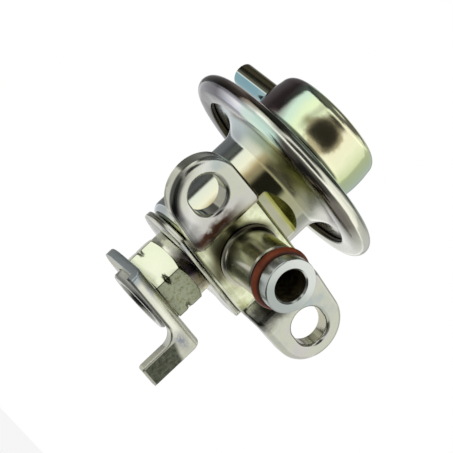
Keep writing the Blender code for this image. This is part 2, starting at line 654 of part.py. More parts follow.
def depth_at(profile, place):
    """Interpolate a joggle profile at a distance from the middle."""
    if place <= profile[0][0]:
        return profile[0][1]
    for (x_low, d_low), (x_high, d_high) in zip(profile, profile[1:]):
        if place <= x_high:
            return d_low + (d_high - d_low) * (place - x_low) / (x_high - x_low)
    return profile[-1][1]


def bracket_outline():
    """Return the stamping's outline: a tall middle tapering to two round ears."""
    run = EAR_X - BRACKET_STRAIGHT
    reach = math.hypot(run, BRACKET_HALF_HEIGHT)
    lean = math.degrees(math.acos(EAR_RADIUS / reach) - math.atan2(run, BRACKET_HALF_HEIGHT))
    tangent = 90.0 - lean
    right = arc(EAR_X, 0.0, EAR_RADIUS, -tangent, tangent, 11)
    left = arc(-EAR_X, 0.0, EAR_RADIUS, 180.0 - tangent, 180.0 + tangent, 11)
    top = [(BRACKET_STRAIGHT, BRACKET_HALF_HEIGHT), (-BRACKET_STRAIGHT, BRACKET_HALF_HEIGHT)]
    bottom = [(-BRACKET_STRAIGHT, -BRACKET_HALF_HEIGHT), (BRACKET_STRAIGHT, -BRACKET_HALF_HEIGHT)]
    return right + top + left + bottom


def slot_outline(grow):
    """Return the round-ended slot's outline about its own centre, grown by a margin."""
    radius = 0.5 * SLOT_HEIGHT + grow
    half = 0.5 * SLOT_TRAVEL
    return arc(half, 0.0, radius, -90.0, 90.0, 8) + arc(-half, 0.0, radius, 90.0, 270.0, 8)


def slot_cutter(name, centre_x):
    """Loft a slot through an ear, its front edge flared by a quarter round."""
    rows = [(SLOT_EDGE, -CUT_OVER)]
    for step in range(4):
        angle = math.radians(90.0 * step / 3)
        rows.append((SLOT_EDGE * (1.0 - math.sin(angle)), SLOT_EDGE * (1.0 - math.cos(angle))))
    rows.append((0.0, BRACKET_THICK + CUT_OVER))
    shape = bmesh.new()
    loops = []
    for grow, depth in rows:
        ring = [shape.verts.new((centre_x + x, depth, z)) for x, z in slot_outline(grow)]
        loops.append(ring)
    count = len(loops[0])
    for lower, upper in zip(loops, loops[1:]):
        for index in range(count):
            after = (index + 1) % count
            shape.faces.new((lower[index], lower[after], upper[after], upper[index]))
    shape.faces.new(loops[0])
    shape.faces.new(loops[-1])
    return hide_cutter(to_object(name, shape, None))


def build_mounting_bracket(surface):
    """Thick stamping: slotted ears in front of a recessed middle that holds the pipe."""
    front = bend_profile(JOGGLE_START, JOGGLE_INNER_RADIUS, JOGGLE_OUTER_RADIUS)
    shift = BRACKET_THICK * math.tan(0.5 * JOGGLE_ANGLE)
    back = bend_profile(JOGGLE_START + shift, JOGGLE_OUTER_RADIUS, JOGGLE_INNER_RADIUS)
    shape = blank(bracket_outline(), BRACKET_THICK)
    places = [x for x, _ in front + back]
    stations(shape, 0, [-x for x in places] + places)
    for vert in shape.verts:
        is_face = vert.co.y < 0.5 * BRACKET_THICK
        vert.co.y += depth_at(front if is_face else back, abs(vert.co.x))
        vert.tag = is_face
    round_face_edges(shape, BRACKET_EDGE, lambda vert: vert.tag)
    bracket = to_object("mounting_bracket", shape, surface, 40.0)
    combine(bracket, slot_cutter("left_slot", -EAR_X))
    combine(bracket, slot_cutter("right_slot", EAR_X))
    drill = turned("pipe_drill", [(0.0, -RECESS - BRACKET_THICK - CUT_OVER), (0.0, CUT_OVER),
                                  (SPIGOT_HOLE, CUT_OVER),
                                  (SPIGOT_HOLE, -RECESS - BRACKET_THICK - CUT_OVER)], None, COARSE)
    combine(bracket, along_pipe(hide_cutter(drill)))
    return bracket


def shelf_outline():
    """Return the plate's outline about the main axis, the rail's side at negative Y."""
    front = -SHELF_FRONT
    back = front + SHELF_TAB_WIDTH
    corner = SHELF_TAB_CORNER
    left = math.degrees(math.atan2(front, -math.sqrt(SHELF_RADIUS ** 2 - front ** 2)))
    right = math.degrees(math.asin(back / SHELF_RADIUS))
    outline = arc(SHELF_TAB_END - corner, front + corner, corner, -90.0, 0.0, 4)
    outline += arc(SHELF_TAB_END - corner, back - corner, corner, 0.0, 90.0, 4)
    outline += arc(0.0, 0.0, SHELF_RADIUS, right, left + 360.0, 24)
    return outline


def build_shelf_plate(surface):
    """Thin plate between the body and the fitting."""
    plate = on_main_axis(prism("shelf_plate", shelf_outline(), SHELF_UNDER_Z, SHELF_TOP_Z, surface))
    edge = plate.modifiers.new("edge", "BEVEL")
    edge.width = SHELF_EDGE
    edge.segments = 1
    edge.limit_method = "ANGLE"
    edge.angle_limit = math.radians(60.0)
    low = SHELF_UNDER_Z - CUT_OVER
    high = SHELF_TOP_Z + CUT_OVER
    drill = turned("shelf_drill", [(0.0, low), (0.0, high), (TAIL_HOLE, high), (TAIL_HOLE, low)],
                   None, COARSE)
    combine(plate, on_main_axis(hide_cutter(drill)))
    return plate


def build_union_fitting(surface):
    """Neck, hexagon with a V groove round its corners, boss and threaded port."""
    corner = 0.5 * HEX_ACROSS_FLATS / math.cos(math.radians(30.0))
    chamfer = (corner - NECK_RADIUS) * math.tan(HEX_CHAMFER)
    groove_z = HEX_TOP_Z - GROOVE_DROP
    groove_half = corner - GROOVE_FLOOR
    port_top = BOSS_UNDER_Z + PORT_DEPTH
    drill_tip = port_top + (PORT_RADIUS - RETURN_RADIUS) * math.tan(math.radians(30.0))
    socket = SEAT_TUBE_RADIUS + BORE_GAP
    past = 0.25 * CUT_OVER
    outline = [(socket, STAKE_TOP), (STAKE_RADIUS, STAKE_TOP), (STAKE_RADIUS, STAKE_UNDER),
               (TAIL_RADIUS, STAKE_UNDER), (TAIL_RADIUS, NECK_TOP_Z), (NECK_RADIUS, NECK_TOP_Z),
               (NECK_RADIUS, HEX_TOP_Z),
               (corner + past, HEX_TOP_Z - chamfer - past * math.tan(HEX_CHAMFER)),
               (corner + past, groove_z + groove_half + past),
               (GROOVE_FLOOR, groove_z),
               (corner + past, groove_z - groove_half - past),
               (corner + past, HEX_UNDER_Z), (BOSS_RADIUS, HEX_UNDER_Z),
               (BOSS_RADIUS, BOSS_UNDER_Z + BOSS_EDGE), (BOSS_RADIUS - BOSS_EDGE, BOSS_UNDER_Z),
               (PORT_RADIUS + PORT_CHAMFER, BOSS_UNDER_Z),
               (PORT_RADIUS, BOSS_UNDER_Z + PORT_CHAMFER), (PORT_RADIUS, port_top),
               (RETURN_RADIUS, drill_tip), (RETURN_RADIUS, SOCKET_FLOOR), (socket, SOCKET_FLOOR)]
    fitting = on_main_axis(turned("union_fitting", outline, surface))
    hexagon = []
    for index in range(6):
        angle = math.radians(60.0 * index) + HEX_TURN
        hexagon.append((corner * math.cos(angle), corner * math.sin(angle)))
    shaper = prism("hexagon_shaper", hexagon, BOSS_UNDER_Z - CUT_OVER, STAKE_TOP + CUT_OVER, None)
    combine(fitting, on_main_axis(hide_cutter(shaper)), "INTERSECT")
    return fitting


def stopper_outline(developed):
    """Return the flat blank's outline: a round back, a front edge and the long tab."""
    half = STOPPER_HALF_WIDTH
    flange = developed(STOPPER_FLANGE)
    tab = developed(TAB_LENGTH)
    inner = half - TAB_WIDTH
    outline = [(-half, flange)]
    outline += arc(inner - TAB_FILLET, flange + TAB_FILLET, TAB_FILLET, -90.0, 0.0, 5)
    outline += arc(inner + TAB_CORNER, tab - TAB_CORNER, TAB_CORNER, 180.0, 90.0, 3)
    outline += [(half, tab)]
    outline += arc(0.0, 0.0, half, 0.0, -180.0, 22)
    return outline


def build_stopper_bracket(surface):
    """Ring plate whose front is bent down into a flange with one long tab."""
    start = STOPPER_FACE - STOPPER_BEND
    bend_length = 0.5 * math.pi * STOPPER_BEND
    stop = start + bend_length

    def developed(drop):
        return stop + drop - STOPPER_BEND

    shape = blank(stopper_outline(developed), STOPPER_THICK)
    steps = 5
    places = [start + bend_length * step / steps for step in range(steps + 1)]
    stations(shape, 2, places)
    for vert in shape.verts:
        run = vert.co.z
        radius = STOPPER_BEND - vert.co.y
        vert.tag = vert.co.y < 0.5 * STOPPER_THICK
        angle = min(max((run - start) / STOPPER_BEND, 0.0), 0.5 * math.pi)
        forward = min(run, start) + radius * math.sin(angle)
        drop = STOPPER_BEND - radius * math.cos(angle) + max(run - stop, 0.0)
        vert.co.y = -forward
        vert.co.z = STOPPER_TOP_Z - drop
    round_face_edges(shape, STOPPER_EDGE, lambda vert: vert.tag)
    stopper = on_main_axis(to_object("stopper_bracket", shape, surface, 40.0))
    low = STOPPER_UNDER_Z - CUT_OVER
    high = STOPPER_TOP_Z + CUT_OVER
    drill = turned("boss_drill", [(0.0, low), (0.0, high), (BOSS_HOLE, high), (BOSS_HOLE, low)],
                   None, FINE)
    combine(stopper, on_main_axis(hide_cutter(drill)))
    return stopper


def main():
    """Build every piece."""
    clear_scene()
    yellow_zinc = finish("yellow_zinc", (0.62, 0.63, 0.47), 0.20, 1.0)
    green_zinc = finish("green_zinc", (0.52, 0.56, 0.50), 0.22, 1.0)
    silver_zinc = finish("silver_zinc", (0.70, 0.70, 0.66), 0.28, 1.0)
    hex_zinc = finish("hex_zinc", (0.66, 0.66, 0.52), 0.35, 1.0)
    blue_steel = finish("blue_steel", (0.28, 0.36, 0.38), 0.18, 1.0)
    brown_rubber = finish("brown_rubber", (0.33, 0.08, 0.03), 0.45, 0.0)
    black_rubber = finish("black_rubber", (0.03, 0.03, 0.03), 0.60, 0.0)
    spring_steel = finish("spring_steel", (0.42, 0.42, 0.42), 0.30, 1.0)
    bright_steel = finish("bright_steel", (0.72, 0.72, 0.72), 0.12, 1.0)

    build_spring_cover(yellow_zinc)
    build_vacuum_nipple(blue_steel)
    build_lower_body(green_zinc)
    build_diaphragm(black_rubber)
    build_spring_plate(spring_steel)
    build_ring("valve_plate", STEM_HOLE, VALVE_PLATE_RADIUS, VALVE_PLATE_UNDER, VALVE_PLATE_TOP,
               spring_steel, MIDDLE)
    build_ring("rivet_washer", STEM_HOLE, WASHER_RADIUS, WASHER_UNDER,
               WASHER_UNDER + WASHER_THICK, spring_steel)
    build_valve_holder(bright_steel)
    build_valve_ball(bright_steel)
    build_ball_retainer(bright_steel)
    build_ball_spring(spring_steel)
    build_pressure_spring(spring_steel)
    build_spring_seat(spring_steel)
    build_seat_tube(bright_steel)
    build_inlet_pipe(silver_zinc)
    build_o_ring(brown_rubber)
    build_mounting_bracket(silver_zinc)
    build_shelf_plate(silver_zinc)
    build_union_fitting(hex_zinc)
    build_stopper_bracket(silver_zinc)


main()
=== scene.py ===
"""Fuel pressure regulator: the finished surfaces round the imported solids."""

import json
import math

import bmesh
import bpy
from mathutils import Matrix, Vector

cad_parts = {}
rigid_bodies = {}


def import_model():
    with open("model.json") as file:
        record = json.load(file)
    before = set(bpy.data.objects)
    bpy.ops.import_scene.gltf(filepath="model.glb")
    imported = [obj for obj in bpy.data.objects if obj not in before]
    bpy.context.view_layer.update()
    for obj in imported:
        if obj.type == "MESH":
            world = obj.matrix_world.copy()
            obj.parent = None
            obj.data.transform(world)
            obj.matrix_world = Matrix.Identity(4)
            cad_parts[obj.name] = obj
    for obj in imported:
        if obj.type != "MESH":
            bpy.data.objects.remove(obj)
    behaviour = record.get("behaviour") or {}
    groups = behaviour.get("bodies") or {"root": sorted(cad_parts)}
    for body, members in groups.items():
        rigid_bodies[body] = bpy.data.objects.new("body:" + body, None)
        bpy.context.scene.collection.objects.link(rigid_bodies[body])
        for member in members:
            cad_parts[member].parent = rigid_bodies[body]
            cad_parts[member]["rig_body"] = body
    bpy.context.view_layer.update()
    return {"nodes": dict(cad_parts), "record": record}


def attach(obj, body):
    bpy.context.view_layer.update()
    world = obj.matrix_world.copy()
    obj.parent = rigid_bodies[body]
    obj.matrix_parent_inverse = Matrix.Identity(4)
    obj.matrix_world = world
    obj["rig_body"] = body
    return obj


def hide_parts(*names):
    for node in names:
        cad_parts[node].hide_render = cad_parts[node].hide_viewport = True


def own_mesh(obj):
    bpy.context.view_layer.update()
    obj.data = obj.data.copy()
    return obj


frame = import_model()

# Sizes in metres, as the solids have them, and the crown and thread that only this adds
SEAT_GAP = 0.0003
BORE_GAP = 0.0003
CUT_OVER = 0.002
AXIS_Y = 0.0206
RIM_Z = 0.0216

RIM_RADIUS = 0.0273
BEAD_RADIUS = 0.00255
BEAD_DROP = 0.0003
LIP_RADIUS = 0.0217
COVER_WALL = 0.0011
CUP_RADIUS = 0.0148
CUP_TOP = 0.0159
CUP_CORNER = 0.0030
CUP_FILLET = 0.0020
CUP_CROWN = 0.0004

NIPPLE_RADIUS = 0.00286
NIPPLE_WALL = 0.0009
NIPPLE_HEIGHT = 0.0111
NIPPLE_REACH = 0.0298
NIPPLE_INSIDE = 0.0008
NIPPLE_YAW = math.radians(13.0)

BODY_RADIUS = 0.01365
BODY_WALL = 0.0013
FLARE_RADIUS = 0.0050
BODY_FLANGE_RADIUS = 0.0246
BODY_BOTTOM = 0.02965
BODY_CORNER = 0.0026
FLAT_DISTANCE = 0.01165
FLAT_TOP = 0.0094
FLAT_BEND = 0.0015
DIAPHRAGM_THICK = 0.0008

PIPE_RADIUS = 0.00663
PIPE_END = 0.0135
PIPE_BORE = 0.00385
PIPE_BORE_CHAMFER = 0.0004
COLLAR_RADIUS = 0.0064
COLLAR_LENGTH = 0.0031
COLLAR_CHAMFER = 0.00035
SPIGOT_RADIUS = 0.0050
SPIGOT_INSIDE = 0.0006
PIPE_FOOT = 0.0009
RING_WIRE = 0.00265
RING_RADIUS = 0.00598
GROOVE_WIDTH = 0.0037

EAR_X = 0.0230
EAR_RADIUS = 0.00865
BRACKET_THICK = 0.0040
BRACKET_HALF_HEIGHT = 0.00925
BRACKET_STRAIGHT = 0.0110
JOGGLE_START = 0.0103
JOGGLE_ANGLE = math.radians(62.0)
JOGGLE_INNER_RADIUS = 0.0008
JOGGLE_OUTER_RADIUS = 0.0022
BRACKET_EDGE = 0.0014
SLOT_HEIGHT = 0.0084
SLOT_LENGTH = 0.0099
SLOT_EDGE = 0.0010

SHELF_RADIUS = 0.01335
SHELF_THICK = 0.00165
SHELF_FRONT = 0.0086
SHELF_TAB_END = 0.0168
SHELF_TAB_WIDTH = 0.0080
SHELF_TAB_CORNER = 0.0022
SHELF_EDGE = 0.0003

HEX_ACROSS_FLATS = 0.0170
HEX_TURN = math.radians(-2.6)
HEX_HEIGHT = 0.0074
HEX_CHAMFER = math.radians(30.0)
NECK_RADIUS = 0.00837
NECK_HEIGHT = 0.0023
GROOVE_FLOOR = 0.0090
GROOVE_DROP = 0.0044
BOSS_RADIUS = 0.00818
BOSS_EDGE = 0.0004
BOSS_BELOW = 0.0021
PORT_RADIUS = 0.00525
PORT_DEPTH = 0.0112
PORT_CHAMFER = 0.0007
THREAD_PITCH = 0.0010
THREAD_TURNS = 8.0
THREAD_RIDGE = 0.00042
RETURN_RADIUS = 0.0020
TAIL_RADIUS = 0.0055
STAKE_RADIUS = 0.0066
STAKE_HEIGHT = 0.0009
SEAT_TUBE_RADIUS = 0.0034
TUBE_SOCKET = 0.0024

STOPPER_THICK = 0.0021
STOPPER_HALF_WIDTH = 0.0130
STOPPER_FACE = 0.01053
STOPPER_BEND = 0.0024
STOPPER_FLANGE = 0.0037
TAB_LENGTH = 0.0144
TAB_WIDTH = 0.0061
TAB_FILLET = 0.0034
TAB_CORNER = 0.0008
STOPPER_EDGE = 0.0005

# Heights and distances that follow
BEAD_CENTRE_R = RIM_RADIUS - BEAD_RADIUS
BEAD_CENTRE_Z = RIM_Z - BEAD_DROP
COVER_FLANGE_TOP = BEAD_CENTRE_Z + BEAD_RADIUS
CLAMP_TOP = COVER_FLANGE_TOP - COVER_WALL
CLAMP_BOTTOM = BEAD_CENTRE_Z - BEAD_RADIUS + COVER_WALL
CLAMP_GAP = (CLAMP_TOP - CLAMP_BOTTOM - DIAPHRAGM_THICK - BODY_WALL) / 3.0
BODY_FLANGE_UNDER = CLAMP_BOTTOM + CLAMP_GAP
BODY_FLANGE_TOP = BODY_FLANGE_UNDER + BODY_WALL
CUP_TOP_Z = RIM_Z + CUP_TOP
BODY_BOTTOM_Z = RIM_Z - BODY_BOTTOM
SHELF_TOP_Z = BODY_BOTTOM_Z - SEAT_GAP
SHELF_UNDER_Z = SHELF_TOP_Z - SHELF_THICK
NECK_TOP_Z = SHELF_UNDER_Z - SEAT_GAP
HEX_TOP_Z = NECK_TOP_Z - NECK_HEIGHT
HEX_UNDER_Z = HEX_TOP_Z - HEX_HEIGHT
STAKE_UNDER = BODY_BOTTOM_Z + BODY_WALL + SEAT_GAP
STAKE_TOP = STAKE_UNDER + STAKE_HEIGHT
SOCKET_FLOOR = STAKE_TOP - TUBE_SOCKET
STOPPER_TOP_Z = HEX_UNDER_Z - SEAT_GAP
STOPPER_UNDER_Z = STOPPER_TOP_Z - STOPPER_THICK
BOSS_UNDER_Z = STOPPER_UNDER_Z - BOSS_BELOW
BRACKET_BACK = FLAT_DISTANCE + SEAT_GAP
RECESS = AXIS_Y - BRACKET_BACK - BRACKET_THICK
COLLAR_BACK = -PIPE_END + COLLAR_LENGTH
GROOVE_BASE = RING_RADIUS - 0.5 * RING_WIRE - 0.5 * SEAT_GAP
STOPPER_HEM = AXIS_Y - STOPPER_FACE + STOPPER_THICK
TAIL_HOLE = TAIL_RADIUS + BORE_GAP
SPIGOT_HOLE = SPIGOT_RADIUS + BORE_GAP

# How fine round shapes are, and how near points merge
ROUND = 192
DRILL_ROUND = 64
MERGE = 1e-7
TINY = 1e-8

DEGREES = 180.0 / math.pi
FLOOR_Z = -0.12
FLOOR_REACH = 6.0

# Where the camera stands
CAMERA_PLACE = Vector((-0.28787, -0.37266, -0.05962))
CAMERA_AZIMUTH = math.radians(-36.34)
CAMERA_ELEVATION = math.radians(-7.22)
CAMERA_TURN = math.radians(46.81)
CAMERA_LENS = 170.73
CAMERA_SENSOR = 36.0
CAMERA_NEAR = 0.01


def arc(centre_a, centre_b, radius, start, end, steps):
    """Return points on an arc in a plane, from one angle in degrees to another."""
    points = []
    for step in range(steps + 1):
        angle = math.radians(start + (end - start) * step / steps)
        points.append((centre_a + radius * math.cos(angle), centre_b + radius * math.sin(angle)))
    return points


def face_out(shape):
    """Turn every face of a closed shape outwards."""
    bmesh.ops.recalc_face_normals(shape, faces=shape.faces)
    if shape.calc_volume(signed=True) < 0.0:
        bmesh.ops.reverse_faces(shape, faces=shape.faces)


def stood(name, data):
    """Put a new object with this mesh or camera in the scene."""
    item = bpy.data.objects.new(name, data)
    bpy.context.collection.objects.link(item)
    return item


def as_object(name, shape):
    """Close a shape into a named object with its faces pointing out."""
    bmesh.ops.remove_doubles(shape, verts=shape.verts, dist=MERGE)
    face_out(shape)
    mesh = bpy.data.meshes.new(name)
    shape.to_mesh(mesh)
    shape.free()
    return stood(name, mesh)


def turned(name, outline, segments=ROUND):
    """Spin a closed outline of (radius, height) points about the local Z axis."""
    shape = bmesh.new()
    rows = [shape.verts.new((radius, 0.0, height)) for radius, height in outline]
    edges = []
    for before, after in zip(rows[-1:] + rows[:-1], rows):
        if before.co.x > 0.0 or after.co.x > 0.0:
            edges.append(shape.edges.new((before, after)))
    bmesh.ops.spin(shape, geom=rows + edges, axis=(0, 0, 1), cent=(0, 0, 0),
                   angle=math.tau, steps=segments, use_merge=True)
    bmesh.ops.remove_doubles(shape, verts=shape.verts, dist=MERGE)
    bmesh.ops.dissolve_degenerate(shape, edges=shape.edges, dist=TINY)
    return as_object(name, shape)


def drill(name, radius, low, high, segments=DRILL_ROUND):
    """Turn the plain rod that cuts a round hole between two heights."""
    outline = [(0.0, low), (0.0, high), (radius, high), (radius, low)]
    return turned(name, outline, segments)


def swept(outline, vector):
    """Return a shape made by pushing a flat outline of 3-D points along a vector."""
    shape = bmesh.new()
    base = shape.faces.new([shape.verts.new(point) for point in outline])
    grown = bmesh.ops.extrude_face_region(shape, geom=[base])
    moved = [part for part in grown["geom"] if isinstance(part, bmesh.types.BMVert)]
    bmesh.ops.translate(shape, verts=moved, vec=vector)
    return shape


def combine(target, tool, operation="DIFFERENCE"):
    """Add an exact Boolean to the target; the tool is dropped when the piece is finished."""
    step = target.modifiers.new(tool.name, "BOOLEAN")
    step.operation = operation
    step.solver = "EXACT"
    step.object = tool


def on_main_axis(item):
    """Stand a turned piece on the regulator's main axis."""
    item.location = (0.0, AXIS_Y, 0.0)
    return item


def along_pipe(item):
    """Lay a turned piece on the inlet pipe's axis, its local +Z pointing to the rail."""
    item.rotation_euler = (math.radians(90.0), 0.0, 0.0)
    return item


def edge_break(item, width, segments=2, angle=40.0):
    """Take the sharpness off a piece's edges."""
    step = item.modifiers.new("edge_break", "BEVEL")
    step.width = width
    step.segments = segments
    step.limit_method = "ANGLE"
    step.angle_limit = math.radians(angle)
    step.miter_outer = "MITER_ARC"


def finished(item, surface, node, crease=30.0, extra=""):
    """Fix a piece's modifiers and place into its mesh, and let it stand for its solid.

    With an extra name the piece only adds to the solid's skin.
    """
    bpy.context.view_layer.update()
    graph = bpy.context.evaluated_depsgraph_get()
    mesh = bpy.data.meshes.new_from_object(item.evaluated_get(graph))
    mesh.transform(item.matrix_world)
    tools = [step.object for step in item.modifiers if step.type == "BOOLEAN"]
    for tool in tools:
        inner = [step.object for step in tool.modifiers if step.type == "BOOLEAN"]
        for part in inner + [tool]:
            bpy.data.objects.remove(part, do_unlink=True)
    bpy.data.objects.remove(item, do_unlink=True)
    mesh.name = node + (extra or "_skin")
    mesh.materials.clear()
    mesh.materials.append(surface)
    mesh.shade_smooth()
    mesh.set_sharp_from_angle(angle=math.radians(crease))
    piece = stood(mesh.name, mesh)
    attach(piece, frame["nodes"][node]["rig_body"])
    if not extra:
        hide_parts(node)
    return piece


class Value:
    """A number on a surface: one socket, with arithmetic that adds Math nodes."""

    def __init__(self, nodes, socket):
        self.nodes = nodes
        self.socket = socket

    def math(self, operation, *others):
        """Return the result of one Math node."""
        values = [self.socket]
        values += [other.socket if isinstance(other, Value) else other for other in others]
        made = self.nodes.add("ShaderNodeMath", {"operation": operation},
                               dict(enumerate(values)))
        return Value(self.nodes, made.outputs[0])

    def __add__(self, other):
        return self.math("ADD", other)

    def __mul__(self, other):
        return self.math("MULTIPLY", other)

    def __sub__(self, other):
        return self.math("SUBTRACT", other)

    def __rsub__(self, other):
        return self.math("MULTIPLY", -1.0).math("ADD", other)

    def __truediv__(self, other):
        return self.math("DIVIDE", other)

    __radd__ = __add__
    __rmul__ = __mul__

    def length(self, other):
        """Return the distance that two numbers at right angles make."""
        return (self * self + other * other).math("SQRT")

    def step(self, low, high):
        """Rise smoothly from 0 at low to 1 at high; low may be the larger."""
        first, last = min(low, high), max(low, high)
        made = self.nodes.add("ShaderNodeMapRange", {"interpolation_type": "SMOOTHSTEP"},
                               {"Value": self.socket, "From Min": first, "From Max": last})
        rise = Value(self.nodes, made.outputs["Result"])
        return rise if low <= high else 1.0 - rise

    def band(self, centre, half, soft):
        """Return 1 within half a width of the centre, falling to 0 over the soft edge."""
        away = (self - centre).math("ABSOLUTE")
        return away.step(half + soft, half - soft)


class Nodes:
    """A node tree, with one way to add a node to it."""

    def __init__(self, tree):
        self.tree = tree

    def add(self, kind, settings=None, sockets=None):
        """Add one node: its settings first, then the values or links of its sockets."""
        made = self.tree.nodes.new(kind)
        for key, value in (settings or {}).items():
            if key == "stops":
                ramp = made.color_ramp
                while len(ramp.elements) < len(value):
                    ramp.elements.new(1.0)
                for element, (position, *colour) in zip(ramp.elements, value):
                    element.position = position
                    element.color = (*colour, 1.0)
            else:
                setattr(made, key, value)
        for key, value in (sockets or {}).items():
            self.feed(made.inputs[key], value)
        return made

    def feed(self, socket, value):
        """Link a number's or a node's output to a socket, or set a plain value on it."""
        if isinstance(value, Value):
            value = value.socket
        if isinstance(value, bpy.types.NodeSocket):
            self.tree.links.new(value, socket)
        else:
            socket.default_value = value


class Finish(Nodes):
    """A procedural surface on one Principled shader."""

    def __init__(self, name, metallic=1.0, **sockets):
        self.material = bpy.data.materials.new(name)
        self.material.use_nodes = True
        super().__init__(self.material.node_tree)
        self.film = None
        self.shader = self.tree.nodes["Principled BSDF"]
        self.shader.inputs["Metallic"].default_value = metallic
        for socket, value in sockets.items():
            self.shader.inputs[socket.replace("_", " ")].default_value = value
        self.place = self.add("ShaderNodeTexCoord").outputs["Object"]

    def from_axis(self):
        """Return the three coordinates from the foot of the main axis."""
        made = self.add("ShaderNodeMapping", {"vector_type": "POINT"},
                        {"Vector": self.place, "Location": (0.0, -AXIS_Y, 0.0)})
        return self.axes(made.outputs["Vector"])

    def axes(self, vector=None):
        """Return the three coordinates as numbers."""
        made = self.add("ShaderNodeSeparateXYZ", None, {"Vector": vector or self.place})
        return [Value(self, socket) for socket in made.outputs]

    def cloud(self, scale, detail=3.0, roughness=0.5, vector=None, distortion=0.0):
        """Return soft noise between 0 and 1."""
        made = self.add("ShaderNodeTexNoise", None,
                        {"Vector": vector or self.place, "Scale": scale, "Detail": detail,
                         "Roughness": roughness, "Distortion": distortion})
        return Value(self, made.outputs["Fac"])

    def round_main(self):
        """Return the angle round the main axis, the distance from it and the height."""
        x, y, z = self.from_axis()
        return y.math("ARCTAN2", x), x.length(y), z

    def turn(self):
        """Return the turn round the main axis in degrees; 0 lies between pipe and left ear."""
        x, y, _ = self.from_axis()
        return turn_of(x, y)

    def round_tint_and_reflection(self, turn, stops):
        """Return a colour, film tint and painted reflection in one, that changes with the turn
        round the main axis.
        """
        return self.ramp(turn / 360.0 + 0.5,
                         [(place / 360.0 + 0.5, *colour) for place, *colour in stops], "LINEAR")

    def round_pipe(self):
        """Return the angle round the pipe's axis, the distance from it and the reach."""
        x, y, z = self.axes()
        return z.math("ARCTAN2", x), x.length(z), y

    def lines(self, angle, radius, along, stretch, fine):
        """Return noise drawn out round an axis, as a die or a tool leaves it."""
        vector = self.vector(angle * stretch, along * fine, radius * fine)
        return self.cloud(1.0, 2.0, 0.5, vector=vector)

    def vector(self, x=0.0, y=0.0, z=0.0):
        """Join three numbers into a vector."""
        made = self.add("ShaderNodeCombineXYZ", None, {"X": x, "Y": y, "Z": z})
        return made.outputs["Vector"]

    def ramp(self, value, stops, mode="EASE"):
        """Turn a number into a colour."""
        made = self.add("ShaderNodeValToRGB", {"stops": stops}, {"Fac": value})
        made.color_ramp.interpolation = mode
        return made.outputs["Color"]

    def mix(self, first, second, amount, mode="MIX"):
        """Lay the second colour over the first."""
        first, second = ((*colour, 1.0) if isinstance(colour, tuple) else colour
                         for colour in (first, second))
        made = self.add("ShaderNodeMix", {"data_type": "RGBA", "blend_type": mode},
                        {0: amount, 6: first, 7: second})
        return made.outputs[2]

    def coat(self, colour, amount):
        """Lay one more colour over the film that the surface has so far."""
        self.film = self.mix(self.film, colour, amount)

    def put(self, roughness=None, height=None, bump=0.1):
        """Feed the shader: the film, the roughness and the height behind its bump."""
        self.feed(self.shader.inputs["Base Color"], self.film)
        if roughness is not None:
            self.feed(self.shader.inputs["Roughness"], roughness)
        if height is not None:
            made = self.add("ShaderNodeBump", None,
                            {"Strength": bump, "Distance": 0.0001, "Height": height})
            self.feed(self.shader.inputs["Normal"], made.outputs["Normal"])
        return self.material


def turn_of(x, y):
    """Return the turn in degrees of a place on the ground, from the camera's direction."""
    ahead, aside = (x * way.x + y * way.y for way in (upright(0.0, 0.0), upright(90.0, 0.0)))
    return aside.math("ARCTAN2", ahead) * DEGREES


